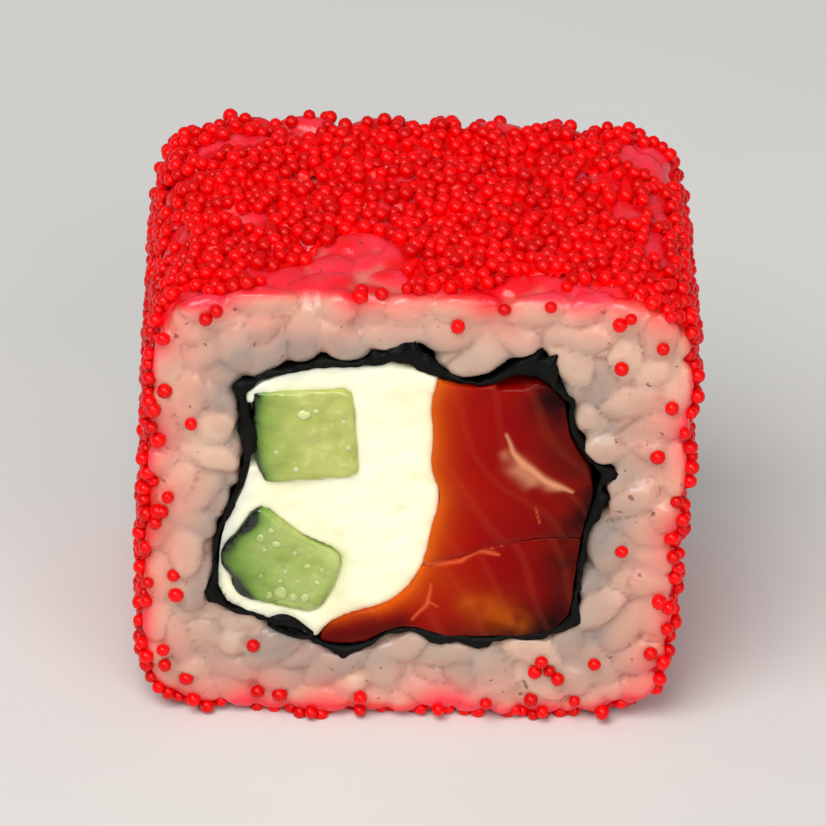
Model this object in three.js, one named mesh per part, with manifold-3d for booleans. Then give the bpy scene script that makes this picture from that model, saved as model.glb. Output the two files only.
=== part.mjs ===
// One piece of uramaki roll: seasoned rice rolled outside a nori sheet, pressed to a rounded square, coated with
// red capelin roe and cut across. Cream cheese, two cucumber sticks and two folds of salmon run through it.
// Millimetres. X runs to the right across the front cut face, Y back along the roll's axis, Z up.
// The origin is the centre of the underside that the piece rests on.
import * as THREE from "three";
import { mergeVertices } from "three/addons/utils/BufferGeometryUtils.js";
import Module from "manifold-3d";

const wasm = await Module();
wasm.setup();

// The whole piece
const WIDTH = 39.2;
const HEIGHT = 35.8;
const LENGTH = 24.5; // between the two knife cuts
const SQUARENESS = 7; // exponent of the rounded square: 2 is an ellipse
const LEAN = 0.6; // how far the pressed square leans to the right between its foot and its top
const LEAN_IN_WIDTH = 0.8; // the share of the lean that widens the whole piece

// Rice and roe
const GRAIN_LENGTH = 5.6;
const GRAIN_WIDTH = 2.7;
const GRAIN_DEPTH = 2.4;
const ROE_DIAMETER = 1.25;
const COAT = 1.2; // how far grains and roe stand out of the packed rice
const UNDERSIDE_SINK = 0.5; // how far the packed rice is pressed flat below
const CUT_GRAINS = 42; // on each cut face
const OUTER_GRAINS = 44;
const OUTER_ROE = 72;
const CUT_ROE = 5; // stray roe on each cut face
const SWELLING = 0.3; // relief of the packed rice between the grains

// The filling
const NORI_THICKNESS = 0.5;
const GAP = 0.3; // between neighbours
const DRIFT = 0.9; // how far the filling wanders sideways from the front cut to the back cut
const RISE = 0.5; // and upwards
const TWIST = THREE.MathUtils.degToRad(5); // and turns
const FILLING_CENTRE = new THREE.Vector2(-0.7, 17.6);
const REACH = 60; // a cutting tool's size, past the whole piece

// What the filling's pieces lack to the full length at each cut face
const NORI_SHORT = 0.25;
const CHEESE_SHORT = 0.45;
const CUCUMBER_SHORT = 0.1;
const SALMON_SHORT = 0.15;

const OUTLINE_STEPS = 64;
const CORE_STATIONS = 9;

// Outlines of the cut face, [x, z]. The filling's outer line, clockwise from its upper left corner.
const FILLING = [
  [-11.5, 26.7], [-9.2, 28], [-5.8, 28.7], [-2.3, 28.7], [2.2, 27.7], [4.9, 27.3], [7.8, 27.7], [9.6, 26.6],
  [10, 24.4], [11.1, 21.7], [11.6, 18.8], [11.3, 15.6], [11, 12.1], [10.7, 9.2], [9, 7.9], [5.8, 7.6],
  [2.8, 7.5], [0.6, 8.2], [-1.4, 8], [-3.1, 7.1], [-5.2, 6.9], [-7.5, 7.7], [-9.9, 8.7], [-12.2, 9.9],
  [-13, 12.6], [-12.7, 15.7], [-11.7, 18.3], [-11, 21.2], [-10.9, 24.1],
];
// Where the salmon meets the cream cheese, from the top down
const SALMON_EDGE = [
  [1.7, 32.1], [1.5, 28.3], [1.1, 26.4], [1.3, 23.5], [1.3, 21], [1.9, 18.9], [1.5, 16.1], [0.9, 13],
  [-0.2, 10.8], [-1.7, 9.5], [-3.8, 8.7], [-5.5, 7.7], [-7.4, 4.3],
];
// The crease between the upper and the lower fold of salmon, from left to right
const SALMON_CREASE = [[-5.6, 10.8], [0.9, 13], [2.9, 13.8], [6, 15], [9.1, 15.7], [14.1, 15.9]];
const UPPER_CUCUMBER = [[-10.9, 26.5], [-4.7, 27.1], [-4, 20.5], [-10.2, 19.8]];
const LOWER_CUCUMBER = [[-10.6, 17.7], [-7.8, 15.1], [-4.8, 13.7], [-5.6, 10.8], [-6.6, 9], [-11.9, 10.3], [-12.7, 13.8]];
// Where the nori stands off the filling in a wrinkle: centre [x, z], height and spread
const WRINKLES = [
  { at: [-1.1, 29.4], height: 0.9, spread: 1.6 },
  { at: [6.8, 28.4], height: 1.1, spread: 1.8 },
  { at: [12.1, 20.3], height: 0.8, spread: 1.7 },
  { at: [-4.4, 6], height: 0.7, spread: 1.7 },
  { at: [-13.1, 10.2], height: 0.6, spread: 1.4 },
];

const materials = {
  rice: new THREE.MeshStandardMaterial({ color: 0xe6cfc0, roughness: 0.4, metalness: 0 }),
  nori: new THREE.MeshStandardMaterial({ color: 0x11140f, roughness: 0.5, metalness: 0 }),
  cheese: new THREE.MeshStandardMaterial({ color: 0xf7f3d6, roughness: 0.45, metalness: 0 }),
  cucumber: new THREE.MeshStandardMaterial({ color: 0xa9b95e, roughness: 0.3, metalness: 0 }),
  salmon: new THREE.MeshStandardMaterial({ color: 0x9c1a05, roughness: 0.3, metalness: 0 }),
};

// A seeded random number generator, 0 to 1
function randomFrom(seed) {
  let state = seed;
  return () => {
    state = (state + 0x6d2b79f5) | 0;
    let t = Math.imul(state ^ (state >>> 15), 1 | state);
    t = (t + Math.imul(t ^ (t >>> 7), 61 | t)) ^ t;
    return ((t ^ (t >>> 14)) >>> 0) / 4294967296;
  };
}

// Solids

function solidFrom(positions, index) {
  const geometry = new THREE.BufferGeometry();
  geometry.setAttribute("position", new THREE.BufferAttribute(new Float32Array(positions), 3));
  if (index) geometry.setIndex(index);
  return solidOfGeometry(geometry);
}

function solidOfGeometry(geometry) {
  const bare = geometry.clone();
  bare.deleteAttribute("normal");
  bare.deleteAttribute("uv");
  const merged = mergeVertices(bare, 1e-4);
  return new wasm.Manifold(
    new wasm.Mesh({
      numProp: 3,
      vertProperties: merged.attributes.position.array,
      triVerts: new Uint32Array(merged.index.array),
    }),
  );
}

function geometryOf(solid) {
  const mesh = solid.getMesh();
  const geometry = new THREE.BufferGeometry();
  geometry.setAttribute("position", new THREE.BufferAttribute(new Float32Array(mesh.vertProperties), 3));
  geometry.setIndex(new THREE.BufferAttribute(new Uint32Array(mesh.triVerts), 1));
  geometry.computeVertexNormals();
  return geometry;
}

// A closed solid through rings of equal count, each a list of Vector3 that runs round Y
function loft(rings) {
  const face = rings[0].map((p) => new THREE.Vector2(p.x, p.z));
  if (THREE.ShapeUtils.isClockWise(face)) return loft(rings.map((ring) => [...ring].reverse()));
  const count = face.length;
  const index = [];
  for (let r = 0; r + 1 < rings.length; r++) {
    for (let i = 0; i < count; i++) {
      const [a, b] = [r * count + i, r * count + ((i + 1) % count)];
      const [c, d] = [a + count, b + count];
      index.push(a, d, b, a, c, d);
    }
  }
  const last = (rings.length - 1) * count;
  for (const [a, b, c] of THREE.ShapeUtils.triangulateShape(face, [])) {
    index.push(a, b, c, last + a, last + c, last + b);
  }
  return solidFrom(rings.flat().flatMap((p) => [p.x, p.y, p.z]), index);
}

// Outlines

const toVectors = (points) => points.map(([x, z]) => new THREE.Vector2(x, z));

// A smooth closed line through the points, in equal steps
function smoothLoop(points, steps) {
  const curve = new THREE.CatmullRomCurve3(points.map((p) => new THREE.Vector3(p.x, 0, p.y)), true, "centripetal");
  return curve.getSpacedPoints(steps).slice(0, steps).map((p) => new THREE.Vector2(p.x, p.z));
}

// A smooth open line through the points
function smoothLine(points, steps) {
  const curve = new THREE.CatmullRomCurve3(points.map((p) => new THREE.Vector3(p.x, 0, p.y)), false, "centripetal");
  return curve.getSpacedPoints(steps).map((p) => new THREE.Vector2(p.x, p.z));
}

// The same outline, moved out by distance(point) along its own normals
function grow(outline, distance) {
  const outwards = THREE.ShapeUtils.isClockWise(outline) ? 1 : -1;
  const count = outline.length;
  return outline.map((p, i) => {
    const before = outline[(i + count - 1) % count];
    const after = outline[(i + 1) % count];
    const along = after.clone().sub(before).normalize();
    const normal = new THREE.Vector2(-along.y, along.x).multiplyScalar(outwards);
    return p.clone().addScaledVector(normal, typeof distance === "number" ? distance : distance(p));
  });
}

// Corners cut off a straight-sided outline, with a few points round each
function roundCorners(points, radius, steps = 2) {
  return points.flatMap((p, i) => {
    const before = points[(i + points.length - 1) % points.length];
    const after = points[(i + 1) % points.length];
    const reach = Math.min(radius, p.distanceTo(before) / 3, p.distanceTo(after) / 3);
    const start = p.clone().add(before.clone().sub(p).setLength(reach));
    const end = p.clone().add(after.clone().sub(p).setLength(reach));
    return new THREE.QuadraticBezierCurve(start, p, end).getPoints(steps);
  });
}

// Where a point of the filling's cut face lies at depth y: the filling wanders, rises and turns a little on its way
function wander(point, y) {
  const share = y / LENGTH; // -0.5 at the front cut, 0.5 at the back cut
  const turned = point.clone().rotateAround(FILLING_CENTRE, TWIST * (share + 0.5));
  return new THREE.Vector3(turned.x + DRIFT * (share + 0.5), y, turned.y + RISE * (share + 0.5));
}

// The prism of a filling outline between the depths from and to
function fillingPrism(outline, from, to) {
  return loft([from, to].map((y) => outline.map((p) => wander(p, y))));
}

const cutBack = (short) => [-LENGTH / 2 + short, LENGTH / 2 - short];

// The filling

const fillingOutline = smoothLoop(toVectors(FILLING), 66);
const wrinkleHeight = (p) =>
  WRINKLES.reduce((sum, w) => {
    const away = p.distanceTo(new THREE.Vector2(...w.at)) / w.spread;
    return sum + w.height * Math.exp(-away * away);
  }, 0);
const noriInner = grow(fillingOutline, (p) => GAP + wrinkleHeight(p));
const noriOuter = grow(noriInner, NORI_THICKNESS);
const riceHole = grow(noriOuter, GAP);

const salmonZone = [
  ...smoothLine(toVectors(SALMON_EDGE), 30),
  new THREE.Vector2(REACH / 2, 4),
  new THREE.Vector2(REACH / 2, 32),
];
const upperSalmonZone = [
  ...smoothLine(toVectors(SALMON_CREASE), 14),
  new THREE.Vector2(REACH / 2, 17),
  new THREE.Vector2(REACH / 2, 40),
  new THREE.Vector2(-6, 40),
];
const cucumberOutlines = {
  cucumber_upper: roundCorners(toVectors(UPPER_CUCUMBER), 0.5),
  cucumber_lower: roundCorners(toVectors(LOWER_CUCUMBER), 0.9),
};
const cuttingPrism = (outline) => fillingPrism(outline, -0.6 * LENGTH, 0.6 * LENGTH);

function makeNori() {
  const [front, back] = cutBack(NORI_SHORT);
  return fillingPrism(noriOuter, front, back).subtract(cuttingPrism(noriInner));
}

function makeCreamCheese() {
  const [front, back] = cutBack(CHEESE_SHORT);
  let cheese = fillingPrism(fillingOutline, front, back);
  cheese = cheese.subtract(cuttingPrism(grow(salmonZone, GAP)));
  for (const outline of Object.values(cucumberOutlines)) {
    cheese = cheese.subtract(cuttingPrism(grow(outline, GAP)));
  }
  return biggest(cheese);
}

function makeCucumber(name) {
  const [front, back] = cutBack(CUCUMBER_SHORT);
  return fillingPrism(cucumberOutlines[name], front, back).intersect(cuttingPrism(fillingOutline));
}

function makeSalmon() {
  const [front, back] = cutBack(SALMON_SHORT);
  const whole = fillingPrism(fillingOutline, front, back).intersect(cuttingPrism(salmonZone));
  return {
    salmon_upper: biggest(whole.intersect(cuttingPrism(upperSalmonZone))),
    salmon_lower: biggest(whole.subtract(cuttingPrism(grow(upperSalmonZone, GAP)))),
  };
}

// The main body of a cut piece: a scrap that the cut leaves loose is dropped
function biggest(solid) {
  return solid.decompose().sort((a, b) => b.volume() - a.volume())[0];
}

// Rice and roe

// The rounded square's outline, pulled in by inset all round, with its foot pressed down by sink
function squareOutline(inset, sink = 0, steps = OUTLINE_STEPS) {
  const [halfWidth, top, foot] = [(WIDTH - LEAN_IN_WIDTH * LEAN) / 2 - inset, HEIGHT - inset, inset - sink];
  const [halfHeight, middle] = [(top - foot) / 2, (top + foot) / 2];
  const points = [];
  for (let i = 0; i < 4 * steps; i++) {
    const turn = (i / (4 * steps)) * 2 * Math.PI;
    const [c, s] = [Math.cos(turn), Math.sin(turn)];
    const radius = (Math.abs(c / halfWidth) ** SQUARENESS + Math.abs(s / halfHeight) ** SQUARENESS) ** (-1 / SQUARENESS);
    const z = middle + radius * s;
    points.push(new THREE.Vector2(radius * c + LEAN * (z / HEIGHT - 0.5), z));
  }
  return smoothLoop(points, steps);
}

// Packed rice: the rounded square with grain-sized swellings
function makePackedRice() {
  const outline = squareOutline(COAT, COAT + UNDERSIDE_SINK);
  const end = LENGTH / 2 - COAT * 0.75;
  const rings = [];
  for (let k = 0; k < CORE_STATIONS; k++) {
    const y = THREE.MathUtils.lerp(-end, end, k / (CORE_STATIONS - 1));
    const swell = (p) => SWELLING * Math.sin(1.3 * p.x + 1.1 * y) * Math.cos(1.2 * p.y - 0.9 * y);
    rings.push(grow(outline, swell).map((p) => new THREE.Vector3(p.x, y, p.y)));
  }
  return loft(rings);
}

// The rings between the poles and the waist move out, so that the ends are round and not pointed
function blunt(position) {
  for (let i = 0; i < position.count; i++) {
    const y = position.getY(i);
    if (Math.abs(y) > 0.1 && Math.abs(y) < 0.45) {
      position.setXYZ(i, position.getX(i) * 1.1, y * 1.12, position.getZ(i) * 1.1);
    }
  }
}

// A grain of rice: its long axis turned to along, and no part of it past the knife's cut at depth limit
function grain(at, along, size, roll, limit) {
  const shape = new THREE.SphereGeometry(0.5, 5, 4);
  blunt(shape.attributes.position);
  shape.scale(GRAIN_DEPTH * size, GRAIN_LENGTH * size, GRAIN_WIDTH * size);
  shape.rotateY(roll);
  shape.applyQuaternion(new THREE.Quaternion().setFromUnitVectors(new THREE.Vector3(0, 1, 0), along));
  shape.translate(at.x, at.y, at.z);
  const position = shape.attributes.position;
  for (let i = 0; i < position.count; i++) {
    position.setY(i, THREE.MathUtils.clamp(position.getY(i), -limit, limit));
  }
  return solidOfGeometry(shape);
}

function roe(at, turn) {
  const shape = new THREE.IcosahedronGeometry(ROE_DIAMETER / 2, 0);
  shape.rotateX(turn).rotateZ(2 * turn);
  shape.translate(at.x, at.y, at.z);
  return solidOfGeometry(shape);
}

// Places spread evenly: each is the one of many random draws that lies furthest from those before it
function spreadEvenly(count, draw, distance) {
  const placed = [];
  for (let k = 0; k < count; k++) {
    let [best, furthest] = [null, -1];
    for (let t = 0; t < 40; t++) {
      const candidate = draw();
      const nearest = Math.min(...placed.map((p) => distance(p, candidate)), REACH);
      if (nearest > furthest) [best, furthest] = [candidate, nearest];
    }
    placed.push(best);
  }
  return placed;
}

function inside(point, outline) {
  let isInside = false;
  outline.forEach((a, i) => {
    const b = outline[(i + 1) % outline.length];
    if (a.y > point.y !== b.y > point.y && point.x < ((b.x - a.x) * (point.y - a.y)) / (b.y - a.y) + a.x) {
      isInside = !isInside;
    }
  });
  return isInside;
}

// Places on the ring of rice at one cut face, clear of the hole and of the outer edge by a margin
function placesOnCut(count, side, margin, random) {
  const outer = squareOutline(margin);
  const hole = grow(riceHole, margin * 0.7).map((p) => wander(p, (side * LENGTH) / 2)).map((p) => new THREE.Vector2(p.x, p.z));
  const draw = () => {
    for (;;) {
      const p = new THREE.Vector2((random() - 0.5) * WIDTH, random() * HEIGHT);
      if (inside(p, outer) && !inside(p, hole)) return p;
    }
  };
  return spreadEvenly(count, draw, (a, b) => a.distanceTo(b));
}

// Places on the coated sides, each with its point, outward normal and direction round the roll
function placesOnSides(count, inset, random) {
  const outline = squareOutline(inset, inset, 128).map((p) => new THREE.Vector3(p.x, 0, p.y));
  const curve = new THREE.CatmullRomCurve3(outline, true);
  const round = curve.getLength();
  const span = LENGTH - 2 * COAT;
  const draw = () => ({ u: random(), y: (random() - 0.5) * span });
  const distance = (a, b) => {
    const apart = Math.abs(a.u - b.u);
    return Math.hypot(Math.min(apart, 1 - apart) * round, a.y - b.y);
  };
  return spreadEvenly(count, draw, distance).map(({ u, y }) => {
    const tangent = curve.getTangentAt(u);
    const normal = new THREE.Vector3(tangent.z, 0, -tangent.x);
    return { point: curve.getPointAt(u).setY(y), normal, tangent };
  });
}

// Grains lie every way on a cut, but along the edge where they are close to it, as the mat pressed them
function cutFaceGrains(side, random) {
  const edge = squareOutline(COAT);
  return placesOnCut(CUT_GRAINS, side, GRAIN_WIDTH * 0.55, random).map((p) => {
    const near = edge.reduce((best, q, i) => (q.distanceTo(p) < edge[best].distanceTo(p) ? i : best), 0);
    const run = edge[(near + 1) % edge.length].clone().sub(edge[near]);
    const isAtEdge = edge[near].distanceTo(p) < GRAIN_LENGTH * 0.5;
    const turn = isAtEdge ? run.angle() + (random() - 0.5) * 0.6 : random() * Math.PI;
    const tilt = (random() - 0.5) * (isAtEdge ? 0.6 : 1.6);
    const along = new THREE.Vector3(Math.cos(turn) * Math.cos(tilt), Math.sin(tilt), Math.sin(turn) * Math.cos(tilt));
    const depth = side * (LENGTH / 2 - COAT * (0.85 + 0.2 * random()));
    const limit = LENGTH / 2 - 0.25 * random();
    return grain(new THREE.Vector3(p.x, depth, p.y), along, 0.85 + 0.25 * random(), random() * Math.PI, limit);
  });
}

function sideGrains(random) {
  return placesOnSides(OUTER_GRAINS, COAT + 0.2, random).map(({ point, normal, tangent }) => {
    const corner = Math.abs(normal.x * normal.z) > 0.15;
    const turn = corner ? Math.PI / 2 + (random() - 0.5) * 0.6 : random() * Math.PI;
    const across = new THREE.Vector3().crossVectors(normal, tangent);
    const along = tangent.clone().multiplyScalar(Math.cos(turn)).addScaledVector(across, Math.sin(turn));
    along.addScaledVector(normal, (random() - 0.5) * 0.16).normalize();
    return grain(point, along, 0.9 + 0.2 * random(), random() * Math.PI, LENGTH / 2 - 0.2 * random());
  });
}

// Roe on the sides and stray roe on the cuts, each dropped on the rice along its own ray
function roeOn(rice, random) {
  const target = new THREE.Mesh(geometryOf(rice), new THREE.MeshBasicMaterial({ side: THREE.DoubleSide }));
  const caster = new THREE.Raycaster();
  const drop = (from, direction) => {
    caster.set(from, direction);
    const hit = caster.intersectObject(target)[0];
    return hit && hit.point.addScaledVector(direction, -0.12 * ROE_DIAMETER);
  };
  const onSides = placesOnSides(OUTER_ROE, 0, random).map(({ point, normal }) =>
    drop(point.addScaledVector(normal, 5), normal.clone().negate()),
  );
  const onCuts = [-1, 1].flatMap((side) =>
    placesOnCut(CUT_ROE, side, 1.5, random).map((p) =>
      drop(new THREE.Vector3(p.x, side * LENGTH, p.y), new THREE.Vector3(0, -side, 0)),
    ),
  );
  return [...onSides, ...onCuts].filter(Boolean).map((at) => roe(at, random() * Math.PI));
}

function makeRice() {
  const random = randomFrom(11);
  const floor = solidOfGeometry(new THREE.BoxGeometry(REACH, REACH, REACH).translate(0, 0, -REACH / 2));
  const grains = [...cutFaceGrains(-1, random), ...cutFaceGrains(1, random), ...sideGrains(random)];
  let rice = grains.reduce((sum, one) => sum.add(one), makePackedRice());
  rice = roeOn(rice, random).reduce((sum, one) => sum.add(one), rice);
  return biggest(rice.subtract(cuttingPrism(riceHole)).subtract(floor));
}

// The piece

const roll = new THREE.Group();

function addPiece(name, solid, material) {
  const mesh = new THREE.Mesh(geometryOf(solid), material);
  mesh.name = name;
  roll.add(mesh);
}

addPiece("rice_and_roe", makeRice(), materials.rice);
addPiece("nori", makeNori(), materials.nori);
addPiece("cream_cheese", makeCreamCheese(), materials.cheese);
for (const name of Object.keys(cucumberOutlines)) addPiece(name, makeCucumber(name), materials.cucumber);
for (const [name, solid] of Object.entries(makeSalmon())) addPiece(name, solid, materials.salmon);

// The origin is the centre of the underside
const extent = new THREE.Box3().setFromObject(roll);
const centre = extent.getCenter(new THREE.Vector3());
roll.position.set(-centre.x, -centre.y, -extent.min.z);

export default roll;
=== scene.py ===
# %% [markdown]
# One piece of uramaki roll, an inside-out sushi roll: rice outside, a sheet of nori in it, and cream
# cheese, cucumber and salmon in the nori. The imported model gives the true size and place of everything,
# so each piece below is made in its frame and nothing is fitted by eye afterwards. X runs to the right
# across the front cut, Y runs back along the roll's axis and Z is up.

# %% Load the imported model
import math

import bmesh
import bpy
import numpy as np
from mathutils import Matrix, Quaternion, Vector
from mathutils.bvhtree import BVHTree


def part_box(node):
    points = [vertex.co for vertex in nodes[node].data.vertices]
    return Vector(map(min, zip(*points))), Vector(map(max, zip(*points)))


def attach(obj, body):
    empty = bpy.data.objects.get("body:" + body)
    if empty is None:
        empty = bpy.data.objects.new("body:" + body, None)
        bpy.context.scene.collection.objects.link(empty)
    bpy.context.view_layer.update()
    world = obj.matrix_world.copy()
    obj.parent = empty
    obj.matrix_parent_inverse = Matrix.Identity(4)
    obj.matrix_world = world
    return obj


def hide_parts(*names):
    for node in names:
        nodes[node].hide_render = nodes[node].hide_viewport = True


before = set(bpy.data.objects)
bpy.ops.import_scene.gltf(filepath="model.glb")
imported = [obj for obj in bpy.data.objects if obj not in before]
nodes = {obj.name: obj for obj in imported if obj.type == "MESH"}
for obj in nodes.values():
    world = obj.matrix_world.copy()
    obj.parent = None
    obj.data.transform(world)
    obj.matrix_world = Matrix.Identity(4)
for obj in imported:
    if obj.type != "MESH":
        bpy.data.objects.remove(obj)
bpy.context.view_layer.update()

MM = 0.001  # Blender works in metres, and the lists of points below are in millimetres
print("nodes:", sorted(nodes))

# %% [markdown]
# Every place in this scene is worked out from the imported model's own boxes. The two knife cuts lie a hair
# outside the cucumber, which runs the whole way through. The pressed rice is a rounded square, and a
# superellipse with the right exponent is exactly that: exponent 2 would be an ellipse, and a large one a
# sharp square.

# %% Measure the cuts and the pressed square


def box_mm(node):
    low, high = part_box(node)
    return np.array(low) / MM, np.array(high) / MM


KNIFE_MARGIN = 0.1  # the cucumber ends this far inside each cut
cucumber_low, cucumber_high = box_mm("cucumber_upper")
FRONT_CUT = cucumber_low[1] - KNIFE_MARGIN
BACK_CUT = cucumber_high[1] + KNIFE_MARGIN
MIDDLE_Y = (FRONT_CUT + BACK_CUT) / 2
LENGTH = BACK_CUT - FRONT_CUT

rice_low, rice_high = box_mm("rice_and_roe")
ROE_ABOVE = 0.2  # the model's highest roe stands this far above the pressed square
LEAN = 0.6  # the square leans to the right by this much between its foot and its top
LEAN_IN_BOX = 0.45  # the share of the lean by which each half of the model's box is wider
SQUARENESS = 7  # the superellipse's exponent
HEIGHT = rice_high[2] - ROE_ABOVE
HALF_WIDTH = (rice_high[0] - rice_low[0]) / 2 - LEAN_IN_BOX * LEAN
MIDDLE_X = (rice_low[0] + rice_high[0]) / 2
MIDDLE_Z = HEIGHT / 2
HALF_HEIGHT = HEIGHT / 2
print(f"cuts {LENGTH:.1f} mm apart, square {2 * HALF_WIDTH:.1f} by {HEIGHT:.1f} mm")

# %% [markdown]
# Two helpers answer the question "how deep in the rice is this point?". The first measures from the
# coated outside, by dividing the superellipse's value by its slope. The second measures from the hole
# that the nori sits in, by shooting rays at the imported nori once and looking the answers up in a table
# afterwards. Where the nori wrinkles at a cut it stands off the filling, so the wrinkles are added to the
# table before the rice reads it.

# %% Measure depths in the ring of rice


def square_share(x, z):
    """1 on the pressed square, 0 in its middle."""
    across = (x - MIDDLE_X - LEAN * (z - MIDDLE_Z) / HEIGHT) / HALF_WIDTH
    up = (z - MIDDLE_Z) / HALF_HEIGHT
    return (np.abs(across) ** SQUARENESS + np.abs(up) ** SQUARENESS) ** (1 / SQUARENESS)


def coat_depth(x, z):
    """Millimetres from the pressed square, inwards."""
    step = 0.02
    slope_x = (square_share(x + step, z) - square_share(x - step, z)) / (2 * step)
    slope_z = (square_share(x, z + step) - square_share(x, z - step)) / (2 * step)
    return (1 - square_share(x, z)) / np.maximum(np.hypot(slope_x, slope_z), 0.02)


def cut_depth(y):
    """Millimetres from the nearer cut, inwards."""
    return LENGTH / 2 - np.abs(y - MIDDLE_Y)


def tree_of(node):
    """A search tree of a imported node's faces, in millimetres."""
    mesh = nodes[node].data
    points = [v.co / MM for v in mesh.vertices]
    return BVHTree.FromPolygons(points, [tuple(p.vertices) for p in mesh.polygons])


nori_tree = tree_of("nori")
nori_low, nori_high = box_mm("nori")
FILLING_X = (nori_low[0] + nori_high[0]) / 2
FILLING_Z = (nori_low[2] + nori_high[2]) / 2
TABLE_TURNS = 240
TABLE_STATIONS = 12
TABLE_INSET = 0.4  # the first and last station lie this far inside the nori's ends
RAY_START = 40  # from the filling's middle, outside the whole piece
table_y = np.linspace(nori_low[1] + TABLE_INSET, nori_high[1] - TABLE_INSET, TABLE_STATIONS)


def nori_radius(turn, y, outwards):
    """From the filling's middle to the nori's inner face, or to its outer face."""
    ray = Vector((math.cos(turn), 0, math.sin(turn)))
    middle = Vector((FILLING_X, y, FILLING_Z))
    if outwards:
        far = middle + ray * RAY_START
        return RAY_START - nori_tree.ray_cast(far, -ray)[3]
    return nori_tree.ray_cast(middle, ray)[3]


turns = np.linspace(0, 2 * math.pi, TABLE_TURNS, endpoint=False)
nori_outer = np.array([[nori_radius(t, y, True) for y in table_y] for t in turns])
nori_inner = np.array([[nori_radius(t, y, False) for y in table_y] for t in turns])


def look_up(table, turn, y):
    """The table's value between its turns and its stations."""
    t = np.mod(turn, 2 * math.pi) / (2 * math.pi) * TABLE_TURNS
    s = np.clip((y - table_y[0]) / (table_y[-1] - table_y[0]), 0, 1) * (TABLE_STATIONS - 1)
    t0 = t.astype(int) % TABLE_TURNS
    t1 = (t0 + 1) % TABLE_TURNS
    s0 = np.minimum(s.astype(int), TABLE_STATIONS - 2)
    a = t - np.floor(t)
    b = s - s0
    near = table[t0, s0] * (1 - a) + table[t1, s0] * a
    far = table[t0, s0 + 1] * (1 - a) + table[t1, s0 + 1] * a
    return near * (1 - b) + far * b


def hole_depth(x, y, z):
    """Millimetres from the nori's outer face, outwards into the rice."""
    turn = np.arctan2(z - FILLING_Z, x - FILLING_X)
    return np.hypot(x - FILLING_X, z - FILLING_Z) - look_up(nori_outer, turn, y)


def round_filling(radius, turn, y):
    """Points at a radius and a turn round the filling's middle."""
    return np.stack([FILLING_X + radius * np.cos(turn), y, FILLING_Z + radius * np.sin(turn)], axis=1)


WRINKLES = [
    # x, z, how far the sheet stands off the filling, half width: wrinkles at the front cut
    (-0.8, 29.0, 1.5, 0.9),
    (-2.6, 29.0, 0.6, 0.8),
    (0.5, 28.4, 0.6, 1.0),
    (6.1, 28.0, 1.4, 0.8),
    (7.7, 28.2, 1.0, 0.8),
    (12.4, 20.5, 1.1, 0.6),
    (11.8, 18.4, 0.6, 1.2),
    (-6.3, 29.0, 0.4, 0.5),
    (-9.9, 28.1, 0.3, 0.6),
    (-11.8, 27.0, 0.6, 0.5),
    (-11.0, 23.2, 0.5, 1.8),
    (-13.0, 10.6, 0.9, 0.8),
    (-4.1, 6.6, 0.5, 0.8),
    (1.9, 7.1, 0.4, 0.9),
    (4.6, 6.8, 0.6, 0.9),
    (10.4, 9.4, 0.4, 1.2),
]
WRINKLE_DEPTH = 9  # how far the wrinkles reach into the piece
BACK_TURN = 0.5  # radians between a wrinkle of the front cut and the like one of the back cut


def wrinkle_table():
    """How far the nori stands off the filling, for each turn and station of the tables."""
    height = np.zeros_like(nori_outer)
    to_front = (table_y - FRONT_CUT) / WRINKLE_DEPTH
    to_back = (BACK_CUT - table_y) / WRINKLE_DEPTH
    for x, z, stands, half_width in WRINKLES:
        for fade, shift in ((np.exp(-to_front**2), 0.0), (np.exp(-to_back**2), BACK_TURN)):
            turn = math.atan2(z - FILLING_Z, x - FILLING_X) + shift
            away = np.angle(np.exp(1j * (turns - turn))) * math.hypot(x - FILLING_X, z - FILLING_Z)
            height += stands * np.exp(-((away / half_width) ** 2))[:, None] * fade[None]
    return height


wrinkles = wrinkle_table()
nori_outer += wrinkles
print(f"nori {nori_inner.min():.1f} to {nori_outer.max():.1f} mm from the filling's middle")

# %% [markdown]
# Food is never even. A soft random field, the sum of many sine waves in random directions, gives bumps of
# a chosen size anywhere in space, and the same seed gives the same bumps each time the script runs.

# %% Helpers for meshes and soft random fields
WAVES = 28  # in each random field


def ripples(points, size, seed):
    """A soft random value at each point, mostly -1 to 1, with bumps about size millimetres across."""
    random = np.random.default_rng(seed)
    directions = random.normal(size=(WAVES, 3))
    directions /= np.linalg.norm(directions, axis=1)[:, None]
    waves = directions * (math.pi / size) * random.uniform(0.6, 1.5, (WAVES, 1))
    phases = random.uniform(0, 2 * math.pi, WAVES)
    return np.sin(points @ waves.T + phases).sum(axis=1) / math.sqrt(WAVES)


def smoothstep(low, high, value):
    """0 at low, 1 at high and a soft slope between them, whichever of the two is larger."""
    share = np.clip((value - low) / (high - low), 0, 1)
    return share * share * (3 - 2 * share)


def make_piece(name, points, faces):
    """A smooth-shaded object from points in millimetres."""
    mesh = bpy.data.meshes.new(name)
    mesh.from_pydata((points * MM).tolist(), [], faces.tolist())
    mesh.shade_smooth()
    piece = bpy.data.objects.new(name, mesh)
    bpy.context.scene.collection.objects.link(piece)
    return piece


def points_of(piece):
    points = np.empty(len(piece.data.vertices) * 3, np.float32)
    piece.data.vertices.foreach_get("co", points)
    return points.reshape(-1, 3).astype(float) / MM


def move_points(piece, points):
    piece.data.vertices.foreach_set("co", (points * MM).astype(np.float32).ravel())
    piece.data.update()


def search_tree(piece):
    """A search tree of a finished piece's faces, in millimetres."""
    faces = [tuple(p.vertices) for p in piece.data.polygons]
    return BVHTree.FromPolygons([Vector(p) for p in points_of(piece)], faces)


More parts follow.
